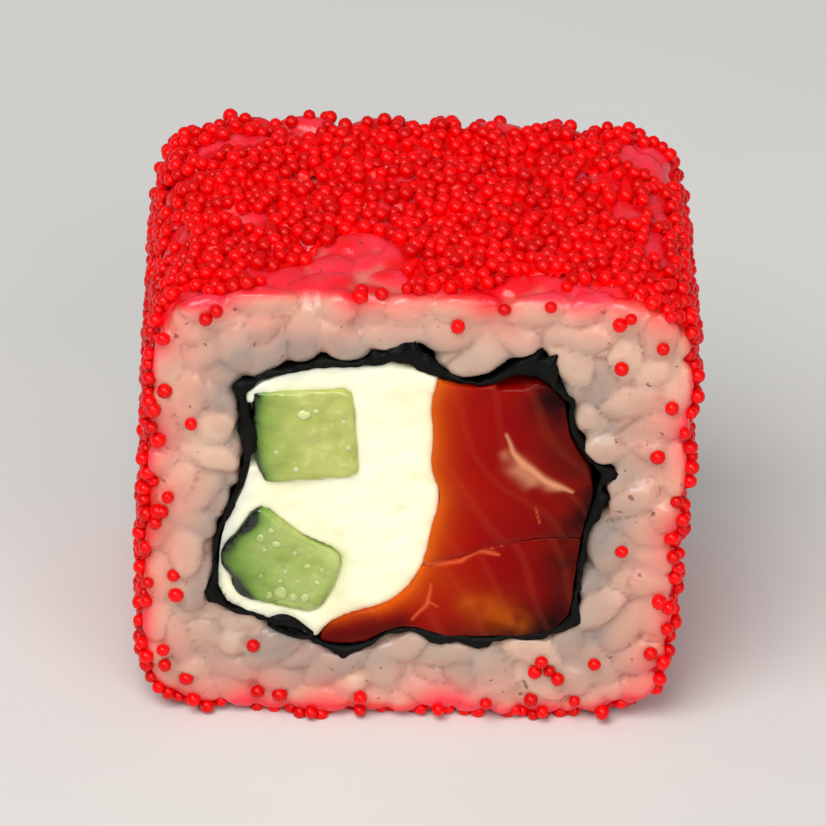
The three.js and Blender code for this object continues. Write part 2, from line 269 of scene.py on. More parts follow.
def paint(piece, name, values):
    """Stores one number a vertex, which a material reads back by its name."""
    attribute = piece.data.attributes.new(name, "FLOAT", "POINT")
    attribute.data.foreach_set("value", np.asarray(values, np.float32))


def apply_modifiers(piece):
    bpy.context.view_layer.update()
    seen = piece.evaluated_get(bpy.context.evaluated_depsgraph_get())
    mesh = bpy.data.meshes.new_from_object(seen)
    piece.modifiers.clear()
    piece.data = mesh


# %% [markdown]
# The filling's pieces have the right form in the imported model, but their faces are few and flat. A voxel
# remesh turns a copy of each into thousands of even faces, with the corners rounded a little, as a knife
# leaves soft food. The points can then move: outwards, to close the hairline that the solids keep between
# neighbours, and in and out at the two cuts, where the knife dragged.

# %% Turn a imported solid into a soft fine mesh
PRESS_FROM = 1.0  # a point this close to the nori starts to be pressed on it
PRESS_FULLY = 0.4
HAIRLINE = 0.04  # what stays open between the filling and the nori


def press_on_nori(points):
    """The way that points close to the nori's inner face still have to go to touch it."""
    offset = points * [1, 0, 1] - [FILLING_X, 0, FILLING_Z]
    radius = np.linalg.norm(offset, axis=1)
    turn = np.arctan2(offset[:, 2], offset[:, 0])
    to_sheet = look_up(nori_inner, turn, points[:, 1]) - radius
    share = smoothstep(PRESS_FROM, PRESS_FULLY, to_sheet) * (to_sheet - HAIRLINE)
    return offset / radius[:, None] * share[:, None]


def split_cut_faces(piece):
    """Splits each face of the two cuts in four, because the finest lines of colour lie there."""
    shape = bmesh.new()
    shape.from_mesh(piece.data)
    cut_edges = {edge for face in shape.faces if abs(face.normal.y) > 0.9 for edge in face.edges}
    bmesh.ops.subdivide_edges(shape, edges=list(cut_edges), cuts=1, use_grid_fill=True)
    shape.to_mesh(piece.data)
    shape.free()


def soft_copy(node, name, voxel, swelling, rounding=3):
    """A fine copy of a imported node, swollen a little and unevenly, with its points and normals."""
    piece = bpy.data.objects.new(name, nodes[node].data.copy())
    bpy.context.scene.collection.objects.link(piece)
    piece.data.materials.clear()
    weld = piece.modifiers.new("weld", "WELD")
    weld.merge_threshold = 0.01 * MM
    remesh = piece.modifiers.new("even faces", "REMESH")
    remesh.mode = "VOXEL"
    remesh.voxel_size = voxel * MM
    smooth = piece.modifiers.new("soften", "SMOOTH")
    smooth.factor = 0.5
    smooth.iterations = rounding
    apply_modifiers(piece)
    split_cut_faces(piece)
    piece.data.shade_smooth()
    normals = np.array([v.normal for v in piece.data.vertices])
    points = points_of(piece)
    uneven = swelling + 0.07 * ripples(points * [1, 0.4, 1], 2.2, 4)
    points += normals * [1, 0, 1] * uneven[:, None]
    points += press_on_nori(points)
    move_points(piece, points)
    return piece, points, normals


def cut_share(normals):
    """1 on a cut face, 0 on the sides."""
    return smoothstep(0.5, 0.95, np.abs(normals[:, 1]))


# %% [markdown]
# Cream cheese is spread with a knife and squeezed as the mat rolls the rice up. It fills the space round
# the cucumber, and the cut drags it into low smooth waves. Where it touches the salmon it takes up a
# little oil, and green juice where the cucumber lies in it, so these distances are painted on it for the
# material.

# %% Model the cream cheese
SLIVER_SHORT = 1.2  # the last thin sliver, left of the upper cucumber, ends this far behind the cut


def distances_to(node, points):
    """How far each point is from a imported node, in millimetres."""
    tree = tree_of(node)
    return np.array([tree.find_nearest(Vector(p))[3] for p in points])


cheese, points, normals = soft_copy("cream_cheese", "cream_cheese_fill", voxel=0.27, swelling=0.24)
smear = 0.16 * ripples(points * [1, 1, 0.45], 3.2, 5) + 0.05 * ripples(points, 0.9, 6)
points += normals * [0, 1, 0] * (cut_share(normals) * smear)[:, None]
squeezed = smoothstep(26.2, 25.4, points[:, 2]) * smoothstep(20.5, 21.5, points[:, 2])
squeezed *= smoothstep(-10.5, -10.9, points[:, 0])
points[:, 1] -= np.sign(points[:, 1] - MIDDLE_Y) * SLIVER_SHORT * squeezed
move_points(cheese, points)
to_salmon = np.minimum(distances_to("salmon_upper", points), distances_to("salmon_lower", points))
to_cucumber = distances_to("cucumber_lower", points) * (1 + 0.25 * ripples(points, 1.5, 7))
to_sheet = -hole_depth(points[:, 0], points[:, 1], points[:, 2])
paint(cheese, "oiled", np.exp(-np.maximum(to_salmon - 0.25, 0) / 0.3))
paint(cheese, "green", np.exp(-np.maximum(to_cucumber - 0.3, 0) / 0.55) * smoothstep(-7, -4, points[:, 0]))
paint(cheese, "thin", smoothstep(2.2, 0.4, to_sheet))
print(f"cream cheese: {len(cheese.data.polygons)} faces")

# %% [markdown]
# Cucumber is cut into sticks before it goes in. Its flesh is wet and a little grainy, and the lower stick
# keeps a side of dark green skin. The upper stick turns the same dark green along its left edge, beside
# the nori. The share of skin is painted on the mesh as a number, from the distance to a line in the cut
# face, so that the material can fade from skin to flesh.

# %% Model the two sticks of cucumber


def distance_to_line(points, line):
    """From each point to a line of [x, z, half width] points in the cut face, in its own half widths."""
    best = np.full(len(points), 1e9)
    flat = points[:, [0, 2]]
    for first, last in zip(line[:-1], line[1:]):
        start, along = np.array(first[:2]), np.array(last[:2]) - np.array(first[:2])
        share = np.clip(((flat - start) @ along) / (along @ along), 0, 1)
        width = first[2] + share * (last[2] - first[2])
        best = np.minimum(best, np.linalg.norm(flat - start - share[:, None] * along, axis=1) / width)
    return best


SKIN_LINE = [[-10.6, 18.2, 0.9], [-13.1, 14.0, 2.4], [-12.9, 10.6, 3.1], [-10.4, 8.9, 1.5]]
# The upper stick turns dark green along this line, its left edge beside the nori
UPPER_DARK_EDGE = [[-11.4, 27.0, 1.4], [-10.6, 19.0, 1.1]]


def skin_share(points, skin_line, seed):
    """1 on the skin's line, falling off into the flesh."""
    away = distance_to_line(points, skin_line) + 0.15 * ripples(points, 1.6, seed)
    return np.clip(1.25 * np.exp(-np.maximum(away, 0)), 0, 1)


def make_cucumber(node, name, skin_line, seed):
    piece, points, normals = soft_copy(node, name, voxel=0.22, swelling=0.2, rounding=1)
    grain = 0.06 * ripples(points, 0.8, seed) + 0.09 * ripples(points, 2.4, seed + 1)
    points += normals * [0, 1, 0] * (cut_share(normals) * grain)[:, None]
    move_points(piece, points)
    paint(piece, "skin", skin_share(points, skin_line, seed + 2))
    return piece


upper_cucumber = make_cucumber("cucumber_upper", "cucumber_stick_upper", UPPER_DARK_EDGE, 21)
lower_cucumber = make_cucumber("cucumber_lower", "cucumber_stick_lower", SKIN_LINE, 31)
print(f"cucumber: {len(upper_cucumber.data.polygons) + len(lower_cucumber.data.polygons)} faces")

# %% [markdown]
# Cut cucumber weeps. A few flat drops of juice stand on its two cut faces, each placed by a ray at the
# stick.

# %% Place the drops of juice
FRONT_DROPS = [
    # x, z, how wide
    (-7.8, 25.3, 0.9), (-7.0, 25.6, 0.4), (-4.7, 22.8, 0.4), (-8.2, 20.9, 0.45), (-5.1, 24.8, 0.3),
    (-9.6, 22.4, 0.3), (-10.5, 15.2, 0.8), (-9.8, 15.9, 0.5), (-9.4, 14.7, 0.6), (-10.2, 14.2, 0.4),
    (-9.0, 10.6, 1.0), (-9.8, 10.4, 0.5), (-8.1, 10.3, 0.6), (-7.3, 10.3, 0.6), (-8.7, 12.4, 0.35),
    (-7.2, 12.9, 0.5), (-6.5, 11.6, 0.4), (-8.1, 13.9, 0.4), (-9.1, 11.7, 0.4), (-6.2, 12.6, 0.35),
    (-10.4, 12.0, 0.4), (-7.8, 11.6, 0.3),
]
DROP_ROUNDS = 3  # subdivisions of a drop's sphere
DROP_DEPTH = 0.24  # half a drop's depth, as a share of its width
BACK_SPREAD = 0.9  # how far the drops on the back cut stray from the places in front
BETWEEN_STICKS = 18.5  # a height between the two sticks: the drops on the upper one show no skin


def sphere_points(subdivisions):
    """The points and triangles of a sphere of radius 1."""
    mesh = bpy.data.meshes.new("sphere")
    shape = bmesh.new()
    bmesh.ops.create_icosphere(shape, subdivisions=subdivisions, radius=1)
    shape.to_mesh(mesh)
    shape.free()
    points = np.array([v.co[:] for v in mesh.vertices])
    faces = np.array([p.vertices[:] for p in mesh.polygons])
    bpy.data.meshes.remove(mesh)
    return points, faces


def make_drops():
    random = np.random.default_rng(36)
    sphere, sphere_faces = sphere_points(DROP_ROUNDS)
    points, faces = [], []
    for stick in (upper_cucumber, lower_cucumber):
        tree = search_tree(stick)
        for side in (1, -1):
            for x, z, wide in FRONT_DROPS:
                if side == -1:
                    x, z = x + random.normal(0, BACK_SPREAD), z + random.normal(0, BACK_SPREAD)
                hit = tree.ray_cast(Vector((x, MIDDLE_Y - side * 20, z)), Vector((0, side, 0)), 12)[0]
                if hit is not None:
                    uneven = 1 + 0.12 * ripples(sphere * 1.5 + [x, 0, z], 1.5, 37)
                    half_sizes = [wide / 2, wide * DROP_DEPTH, wide / 2 * random.uniform(0.8, 1.2)]
                    drop = sphere * uneven[:, None] * half_sizes
                    faces.append(sphere_faces + len(points) * len(sphere))
                    points.append(drop + np.array(hit))
    points = np.concatenate(points)
    drops = make_piece("drops_of_juice", points, np.concatenate(faces))
    paint(drops, "skin", skin_share(points, SKIN_LINE, 33) * (points[:, 2] < BETWEEN_STICKS))
    print(f"juice: {len(faces)} drops")
    return drops


juice = make_drops()

# %% [markdown]
# The salmon is a strip folded once, so two folds of flesh lie on each other. Flesh is dark red, turns
# orange where it is thin against the cheese, and has pale sinews that run through it. Each of these
# effects starts as a distance: to the cheese, to the nori, or to a line drawn along a sinew. It is
# painted on the mesh as a share from 0 to 1, which the material reads back. The distance to the other
# fold sinks the crease between the two.

# %% Model the two folds of salmon
# Lines in the cut face, as x, z and half width
SINEW = [[5.9, 24.1, 0.1], [6.5, 22.8, 0.16], [7.4, 21.7, 0.24], [8.9, 20.6, 0.26], [10.7, 19.6, 0.1]]
SINEW_SPREAD = [[6.1, 22.6, 0.4], [6.7, 21.6, 0.62], [7.9, 20.5, 0.7], [9.7, 19.9, 0.25]]
FINE_LINES = [
    [[1.0, 13.2, 0.12], [3.4, 13.6, 0.14], [4.6, 14.4, 0.12], [6.1, 14.9, 0.08]],
    [[4.7, 14.3, 0.16], [5.9, 14.1, 0.1]],
    [[0.2, 8.6, 0.07], [1.1, 9.8, 0.12], [1.3, 11.5, 0.07]],
    [[1.2, 10.1, 0.09], [1.8, 9.7, 0.05]],
    [[8.3, 18.3, 0.05], [8.6, 16.9, 0.06]],
]
WARM_PATCH = [[4.2, 10.2, 0.8], [5.5, 9.8, 1.1], [7.6, 8.4, 0.8]]
LOWER_FOLD = [[1.6, 12.4, 0.6], [2.8, 11.3, 1.5], [5.0, 9.0, 2.2]]
# Where shade is painted on the salmon's tip, beside the nori at the bottom left
DARK_TIP = [[-7.0, 6.4, 1.2], [-3.5, 7.2, 1.5], [-0.6, 8.0, 1.2]]


def make_salmon(node, other, name, seed):
    piece, points, normals = soft_copy(node, name, voxel=0.22, swelling=0.2)
    to_cheese = distances_to("cream_cheese", points)
    to_fold = distances_to(other, points)
    to_nori = -hole_depth(points[:, 0], points[:, 1], points[:, 2])
    wander = points + 0.09 * np.stack([ripples(points, 1.4, seed + k) for k in range(3)], axis=1)
    cloud = 0.75 + 0.45 * ripples(points, 0.8, seed + 5)

    def beside(line):
        """1 on a line, fading out over its half width."""
        return np.exp(-distance_to_line(wander, line) ** 2)

    sinew = beside(SINEW)
    sinew += beside(SINEW_SPREAD) * np.clip(cloud, 0, 1) * 0.7
    fine = sum(beside(line) for line in FINE_LINES)
    flakes = np.sin(2.1 * points[:, 0] + 1.3 * points[:, 2] + 1.5 * ripples(points, 5, seed))
    relief = 0.08 * ripples(points, 2.2, seed + 1) + 0.03 * flakes + 0.1 * sinew
    relief -= 0.15 * np.exp(-((to_fold / 0.5) ** 2))
    points += normals * [0, 1, 0] * (cut_share(normals) * relief)[:, None]
    move_points(piece, points)
    tip = beside(DARK_TIP)
    paint(piece, "rim", np.exp(-np.maximum(to_cheese - 0.35, 0) / 0.7) * (1 - tip))
    paint(piece, "tip", tip)
    paint(piece, "sinew", np.clip(sinew, 0, 1))
    paint(piece, "fine", np.clip(fine, 0, 1))
    warm = 0.8 * beside(WARM_PATCH) * np.clip(cloud + 0.2, 0, 1)
    warm += 0.22 * beside(LOWER_FOLD)
    paint(piece, "warm", np.clip(warm, 0, 1))
    paint(piece, "flakes", smoothstep(0.6, 1.0, flakes))
    # Deeper red where the salmon is thicker, away from the cheese, and painted shade beside the nori
    paint(piece, "thick_and_shaded", smoothstep(0.5, 8, to_cheese) * (0.45 + 0.55 * smoothstep(4.5, 1.0, to_nori)))
    return piece


upper_salmon = make_salmon("salmon_upper", "salmon_lower", "salmon_fold_upper", 41)
lower_salmon = make_salmon("salmon_lower", "salmon_upper", "salmon_fold_lower", 51)
print(f"salmon: {len(upper_salmon.data.polygons) + len(lower_salmon.data.polygons)} faces")

# %% [markdown]
# Nori is a thin dry sheet that softens between wet rice and wet filling, so it crinkles. It is modelled
# as a closed band: a grid that goes round the filling, out along the outer face, over the cut edge and
# back along the inner face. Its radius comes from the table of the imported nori, and ripples make the
# crinkles.

# %% Model the sheet of nori
NORI_TURNS = 640
NORI_STATIONS = 38
NORI_SHORT = 0.25  # the sheet ends this far inside each cut
NORI_THICKNESS = 0.28
THINNEST_NORI = 0.12
INNER_SWELL = (-11.2, 24.4, 0.5, 2.2)  # where the sheet is bunched up inwards: x, z, depth and half width
CURL_OUT = 0.1  # the torn loop hangs this far out of the front cut
CURL_IN = 1.2  # and reaches this far into the piece
CURL_STEPS = 8  # between two points of the line below, of x, z and half width
CURL = [[-9.8, 8.2, 0.2], [-9.0, 8.4, 0.35], [-8.0, 8.2, 0.3], [-7.2, 7.7, 0.12], [-6.6, 7.2, 0.09],
        [-7.3, 6.9, 0.08], [-8.4, 7.2, 0.08], [-9.3, 7.7, 0.1]]


def band(turn_count, loop):
    """Closed faces of a grid that goes round turn_count times and once round a loop of the given length."""
    t, s = np.meshgrid(np.arange(turn_count), np.arange(loop), indexing="ij")
    t1, s1 = (t + 1) % turn_count, (s + 1) % loop
    return np.stack([t * loop + s, t * loop + s1, t1 * loop + s1, t1 * loop + s], axis=-1).reshape(-1, 4)


def make_curl():
    """The small loop of torn nori that hangs out of the front cut: a thin ribbon, closed all round."""
    steps = len(CURL) * CURL_STEPS
    at = np.arange(steps) / CURL_STEPS
    loop = np.array([np.interp(at, np.arange(len(CURL) + 1), column) for column in zip(*CURL, CURL[0])]).T
    for _ in range(6):
        loop = (np.roll(loop, 1, axis=0) + 2 * loop + np.roll(loop, -1, axis=0)) / 4
    along = np.roll(loop, -1, axis=0) - np.roll(loop, 1, axis=0)
    across = np.stack([-along[:, 1], along[:, 0]], axis=1) / np.linalg.norm(along[:, :2], axis=1)[:, None]
    corners = []
    front, back = FRONT_CUT - CURL_OUT, FRONT_CUT + CURL_IN
    for side, y in ((1, front), (1, back), (-1, back), (-1, front)):
        flat = loop[:, :2] + side * across * loop[:, 2:]
        corners.append(np.stack([flat[:, 0], np.full(steps, y), flat[:, 1]], axis=1))
    return np.stack(corners, axis=1).reshape(-1, 3), band(steps, 4)


def make_nori():
    """The sheet as one closed band, and the torn loop."""
    out = np.linspace(-1, 1, NORI_STATIONS)
    stations = np.concatenate([out, out[::-1]])
    is_outer = np.concatenate([np.ones(NORI_STATIONS), np.zeros(NORI_STATIONS)])
    turn = np.repeat(np.linspace(0, 2 * math.pi, NORI_TURNS, endpoint=False), 2 * NORI_STATIONS)
    station = np.tile(stations, NORI_TURNS)
    outer = np.tile(is_outer, NORI_TURNS)
    rim = np.stack([4 * np.cos(turn), station * 6, 4 * np.sin(turn)], axis=1)
    y = MIDDLE_Y + station * (LENGTH / 2 - NORI_SHORT + 0.12 * ripples(rim, 1.1, 61))
    stands = look_up(wrinkles, turn, y)
    middle = (look_up(nori_outer, turn, y) - stands + look_up(nori_inner, turn, y)) / 2
    on_sheet = round_filling(middle, turn, y)
    crinkle = 0.07 * ripples(on_sheet * [1, 0.5, 1], 1.5, 62) + 0.07 * ripples(on_sheet, 0.6, 63)
    thickness = np.maximum(NORI_THICKNESS + 0.14 * ripples(on_sheet, 1.8, 64), THINNEST_NORI)
    torn = (0.09 + 0.2 * stands) * ripples(on_sheet, 0.8, 65)
    ragged = torn + (0.05 + 0.12 * stands) * ripples(on_sheet, 0.45, 66)
    x, z, depth, half_width = INNER_SWELL
    away = np.hypot(on_sheet[:, 0] - x, on_sheet[:, 2] - z) / half_width
    swell = depth * np.exp(-(away**4)) * smoothstep(5, 1, y - FRONT_CUT)
    radius = middle + crinkle + (outer - 0.5) * thickness + outer * np.maximum(stands + ragged, -0.1)
    radius -= (1 - outer) * swell
    points = round_filling(radius, turn, y)
    curl, curl_faces = make_curl()
    faces = np.concatenate([band(NORI_TURNS, 2 * NORI_STATIONS), curl_faces + len(points)])
    return make_piece("nori_sheet", np.concatenate([points, curl]), faces)


nori = make_nori()
print(f"nori: {len(nori.data.polygons)} faces")

# %% [markdown]
# Rolled rice is a crowd: each grain is pressed flat against its neighbours, and the knife slices those it
# meets. Scattering whole grains would leave holes and let them run through each other. Here the grains
# grow instead. Seeds with a direction are spread through the outer layer of the rice, and Lloyd's method
# evens them out: every sample point goes to the nearest seed, measured so that a seed reaches further
# along its grain than across it, and each seed then moves to the middle of its points.

# %% Spread the seeds of the grains
GRAIN_HALF_LENGTH = 2.75
GRAIN_HALF_WIDTH = 1.35
RICE_SINK = 0.95  # the rice ends this far inside the pressed square, and the roe fills the rest
FOOT_SINK = 0.45  # less on the underside, where the coat is pressed into the rice
NESTLE = 0.2  # the grains press this far into the soft nori
LAYER = 2.7  # the grains that show lie within this depth of the outside
GRAIN_COUNT = 620
SEED_INSET = 0.35  # no seed is closer to a cut
SAMPLE_COUNT = 60000
LLOYD_ROUNDS = 14
AT_ONCE = 8000  # points compared with all seeds at a time, to save memory


def rice_sink(z):
    """How far the rice ends inside the pressed square at this height."""
    return FOOT_SINK + (RICE_SINK - FOOT_SINK) * smoothstep(1.0, 5.0, z)


def in_rice(points):
    x, y, z = points.T
    return (coat_depth(x, z) > rice_sink(z)) & (hole_depth(x, y, z) > -NESTLE)


def sample_layer(count, random):
    """Random points in the outer layer of the rice, past the two cuts by a little."""
    found = []
    while sum(map(len, found)) < count:
        draw = random.uniform([-22, FRONT_CUT - 0.9, 0], [22, BACK_CUT + 0.9, 36], (count, 3))
        draw = draw[in_rice(draw)]
        to_cut = cut_depth(draw[:, 1])
        found.append(draw[(coat_depth(draw[:, 0], draw[:, 2]) < LAYER + RICE_SINK) | (to_cut < LAYER)])
    return np.concatenate(found)[:count]


def first_directions(seeds, random):
    """Grains lie along the pressed sides, and every way on the cuts."""
    along = random.normal(size=(len(seeds), 3))
    step = 0.05
    x, y, z = seeds.T
    slope = np.stack([
        coat_depth(x + step, z) - coat_depth(x - step, z),
        np.zeros(len(x)),
        coat_depth(x, z + step) - coat_depth(x, z - step),
    ], axis=1)
    slope /= np.linalg.norm(slope, axis=1)[:, None]
    near_coat = smoothstep(4.5, 2.0, coat_depth(x, z))[:, None]
    along -= slope * (along * slope).sum(axis=1)[:, None] * near_coat * 0.85
    to_cut = cut_depth(y)
    along[:, 1] *= 1 - 0.55 * smoothstep(3.5, 1.5, to_cut)
    return along / np.linalg.norm(along, axis=1)[:, None]


def grain_measures(along):
    """One 3 by 3 matrix a grain: distance squared in units of the grain's own half sizes."""
    outer = along[:, :, None] * along[:, None, :]
    across = np.eye(3) - outer
    return outer / GRAIN_HALF_LENGTH**2 + across / GRAIN_HALF_WIDTH**2


def squares_to_seeds(points, seeds, measures):
    """For one part of the points after another: which part, and its squared distances to all seeds."""
    flat = measures.reshape(-1, 9)
    own = np.einsum("nij,nj->ni", measures, seeds)
    constant = (own * seeds).sum(axis=1)
    for start in range(0, len(points), AT_ONCE):
        part = points[start:start + AT_ONCE]
        products = (part[:, :, None] * part[:, None, :]).reshape(-1, 9)
        yield slice(start, start + AT_ONCE), products @ flat.T - 2 * part @ own.T + constant


def nearest_seed(samples, seeds, measures):
    """The index of the seed that each sample belongs to."""
    owner = np.empty(len(samples), int)
    for part, squares in squares_to_seeds(samples, seeds, measures):
        owner[part] = squares.argmin(axis=1)
    return owner


def spread_grains(count, sample_count, rounds, seed):
    random = np.random.default_rng(seed)
    samples = sample_layer(sample_count, random)
    seeds = samples[random.choice(len(samples), count, replace=False)]
    along = first_directions(seeds, random)
    measures = grain_measures(along)
    for _ in range(rounds):
        owner = nearest_seed(samples, seeds, measures)
        size = np.bincount(owner, minlength=count)
        middle = np.stack([np.bincount(owner, samples[:, k], count) for k in range(3)], axis=1)
        has_points = size > 0
        seeds[has_points] = middle[has_points] / size[has_points, None]
        seeds[:, 1] = np.clip(seeds[:, 1], FRONT_CUT + SEED_INSET, BACK_CUT - SEED_INSET)
    return seeds[has_points], along[has_points], random


seeds, along, rice_random = spread_grains(GRAIN_COUNT, SAMPLE_COUNT, LLOYD_ROUNDS, seed=71)
measures = grain_measures(along)
print(f"{len(seeds)} grains of rice")

# %% [markdown]
# Each grain starts as a sphere of points round its seed, stretched along the grain. Every point then
# moves out until it meets whichever comes first: the grain's own size, the border with a neighbour, the
# knife's plane or the pressed outside. Both borders are simple to solve for, because all these distances
# are squares. A soft minimum of them all rounds the corners off, which leaves a shallow crease where two
# grains meet.

# %% Grow the grains
GRAIN_ROUNDS = 3  # subdivisions of the grain's sphere, 320 faces
GRAIN_FOOT = 0.08  # no grain reaches lower than this
SOFTNESS = 16  # the higher, the sharper the corners of a pressed grain
SOFTEN_ROUNDS = 2
NEIGHBOURS = 30
FREE_REACH = 1.12  # a grain that meets nothing ends at this share of its ray
FURTHEST = 1.6  # the share of a ray up to which the walls are looked for
NEVER = 1e3  # the share that stands for meeting nothing


def side_directions(along):
    """Two directions across each grain, at right angles."""
    helper = np.where(np.abs(along[:, 2:3]) < 0.8, [[0, 0, 1.0]], [[1.0, 0, 0]])
    first = np.cross(along, helper)
    first /= np.linalg.norm(first, axis=1)[:, None]
    return first, np.cross(along, first)


def reach_to_neighbours(seeds, measures, rays):
    """For each grain and ray, the share of the ray at which each neighbour takes over."""
    apart = np.linalg.norm(seeds[:, None] - seeds[None], axis=2)
    near = np.argsort(apart, axis=1)[:, 1:NEIGHBOURS + 1]
    own = np.einsum("gri,gij,grj->gr", rays, measures, rays)
    offset = seeds[:, None] - seeds[near]
    weights = measures[near]
    a = np.einsum("gni,gnij,gnj->gn", offset, weights, offset)[:, None]
    b = 2 * np.einsum("gni,gnij,grj->grn", offset, weights, rays)
    c = np.einsum("gri,gnij,grj->grn", rays, weights, rays)
    under = b * b + 4 * a * (own[:, :, None] - c)
    bottom = np.sqrt(np.maximum(under, 0)) - b
    meets = (under > 0) & (bottom > 1e-6)
    return np.where(meets, 2 * a / np.where(meets, bottom, 1), NEVER)


def reach_to_walls(seeds, rays):
    """The share of each ray that stays inside the pressed square and outside the nori's hole."""
    low = np.zeros(rays.shape[:2])
    high = np.full(rays.shape[:2], FURTHEST)
    for _ in range(11):
        middle = (low + high) / 2
        at = seeds[:, None] + rays * middle[..., None]
        inside = in_rice(at.reshape(-1, 3)).reshape(middle.shape)
        low, high = np.where(inside, middle, low), np.where(inside, high, middle)
    return np.where(low > FURTHEST - 0.01, NEVER, low)


def reach_to_knife(seeds, rays, random):
    """The share of each ray up to the cut, which leaves every grain at a depth and slope of its own."""
    count = len(seeds)
    side = np.sign(seeds[:, 1] - MIDDLE_Y)
    depth = np.abs(random.normal(0, 0.28, count))
    slope = random.normal(0, 0.1, (count, 2))
    normal = np.stack([slope[:, 0], side, slope[:, 1]], axis=1)
    room = np.maximum(LENGTH / 2 - depth - np.abs(seeds[:, 1] - MIDDLE_Y), 0.12)
    towards = np.einsum("gri,gi->gr", rays, normal)
    return np.where(towards > 1e-3, room[:, None] / np.maximum(towards, 1e-3), NEVER)


def soften(points, faces):
    """Moves every point of every grain towards the middle of its neighbours on the sphere, a few times."""
    count = points.shape[1]
    touches = np.zeros((count, count))
    for a, b in ((0, 1), (1, 2), (2, 0)):
        touches[faces[:, a], faces[:, b]] = 1
        touches[faces[:, b], faces[:, a]] = 1
    touches /= touches.sum(axis=1)[:, None]
    for _ in range(SOFTEN_ROUNDS):
        points = points + 0.5 * (np.einsum("vw,gwi->gvi", touches, points) - points)
    return points


def grow_grains(seeds, along, measures, random):
    """The points and triangles of all grains, and how many points one grain has."""
    sphere, sphere_faces = sphere_points(GRAIN_ROUNDS)
    first, second = side_directions(along)
    blunt = sphere * (1 + 0.06 * np.sin(math.pi * np.abs(sphere[:, :1])))
    size = random.uniform(0.93, 1.1, (len(seeds), 1, 1))
    rays = size * (
        blunt[None, :, :1] * GRAIN_HALF_LENGTH * along[:, None]
        + blunt[None, :, 1:2] * GRAIN_HALF_WIDTH * first[:, None]
        + blunt[None, :, 2:] * GRAIN_HALF_WIDTH * 0.92 * second[:, None]
    )
    free = np.full(rays.shape[:2] + (1,), FREE_REACH)
    walls = reach_to_walls(seeds, rays)[..., None]
    knife = reach_to_knife(seeds, rays, random)[..., None]
    neighbours = reach_to_neighbours(seeds, measures, rays)
    everything = np.concatenate([free, walls, knife, neighbours], axis=2)
    reach = (np.maximum(everything, 0.05) ** -SOFTNESS).sum(axis=2) ** (-1 / SOFTNESS)
    points = soften(seeds[:, None] + rays * reach[..., None], sphere_faces)
    faces = sphere_faces[None] + (np.arange(len(seeds)) * len(sphere))[:, None, None]
    return points.reshape(-1, 3), faces.reshape(-1, 3), len(sphere)


grain_points, grain_faces, per_grain = grow_grains(seeds, along, measures, rice_random)
outwards = grain_points - np.repeat(seeds, per_grain, axis=0)
own_place = np.repeat(rice_random.uniform(0, 90, (len(seeds), 3)), per_grain, axis=0)
grain_points += outwards * (0.045 * ripples(grain_points + own_place, 1.3, 75))[:, None]
grain_points[:, 2] = np.maximum(grain_points[:, 2], GRAIN_FOOT)
print(f"grains: {len(grain_faces)} triangles")

# %% [markdown]
# Behind the grains lies the rest of the rice: one more closed band round the filling, a little inside
# everything. Sticky rice has no sharp gaps, because starch fills them. So grains and core go through one
# voxel remesh, which fuses them to a single skin, and a light smoothing leaves only soft valleys where
# the grains meet.

# %% Fuse the grains with the core of rice behind them
CORE_TURNS = 200
CORE_STEPS = 24  # along the roll
CORE_SINK = 0.75  # the core ends this far inside the grains' outside and inside the cuts
CORE_HOLE = 0.6  # and this far outside the nori
RICE_VOXEL = 0.33


def coat_radius(turn, sink):
    """From the filling's middle to the pressed square less sink, by halving."""
    low, high = np.full(turn.shape, 2.0), np.full(turn.shape, 32.0)
    for _ in range(20):
        middle = (low + high) / 2
        depth = coat_depth(FILLING_X + middle * np.cos(turn), FILLING_Z + middle * np.sin(turn))
        low, high = np.where(depth > sink, middle, low), np.where(depth > sink, high, middle)
    return low


def make_core():
    """The closed band of packed rice behind the grains."""
    turn = np.linspace(0, 2 * math.pi, CORE_TURNS, endpoint=False)
    outer = coat_radius(turn, CORE_SINK + RICE_SINK)
    end = LENGTH / 2 - CORE_SINK
    out_y = np.linspace(-end, end, CORE_STEPS)
    across = np.linspace(0, 1, 8)[1:-1]
    rows = [(1.0, y) for y in out_y] + [(1 - a, end) for a in across]
    rows += [(0.0, y) for y in out_y[::-1]] + [(a, -end) for a in across]
    share = np.tile([r[0] for r in rows], CORE_TURNS)
    y = MIDDLE_Y + np.tile([r[1] for r in rows], CORE_TURNS)
    turn_all = np.repeat(turn, len(rows))
    inner = look_up(nori_outer, turn_all, y) + CORE_HOLE
    radius = inner + share * (np.repeat(outer, len(rows)) - inner)
    points = round_filling(radius, turn_all, y)
    points += 0.1 * ripples(points, 1.6, 81)[:, None]
    return points, band(CORE_TURNS, len(rows))


def fuse_rice():
    """Grains and core as one skin."""
    core_points, core_faces = make_core()
    faces = grain_faces.tolist() + (core_faces + len(grain_points)).tolist()
    mesh = bpy.data.meshes.new("rice_grains")
    mesh.from_pydata((np.concatenate([grain_points, core_points]) * MM).tolist(), [], faces)
    piece = bpy.data.objects.new("rice_grains", mesh)
    bpy.context.scene.collection.objects.link(piece)
    remesh = piece.modifiers.new("one skin", "REMESH")
    remesh.mode = "VOXEL"
    remesh.voxel_size = RICE_VOXEL * MM
    smooth = piece.modifiers.new("starch in the gaps", "SMOOTH")
    smooth.factor = 0.25
    smooth.iterations = 1
    apply_modifiers(piece)
    piece.data.shade_smooth()
    return piece


rice = fuse_rice()
rice_points = points_of(rice)
print(f"rice: {len(rice.data.polygons)} faces")

# %% [markdown]
# The roll is turned in a tray of roe, so beads stick to all four pressed sides and hardly to the cuts. On
# paper the coat is a sheet: one direction runs round the square and the other along the roll. Beads are
# drawn at random on that sheet and kept only where no other is too close, and then each is dropped onto
# the grains along its own ray. A cover field decides where the coat is thin: a ragged edge at both cuts,
# and bare patches. The piece's weight presses its underside flat, so whole beads stay on its two edges
# there, beside the cuts.

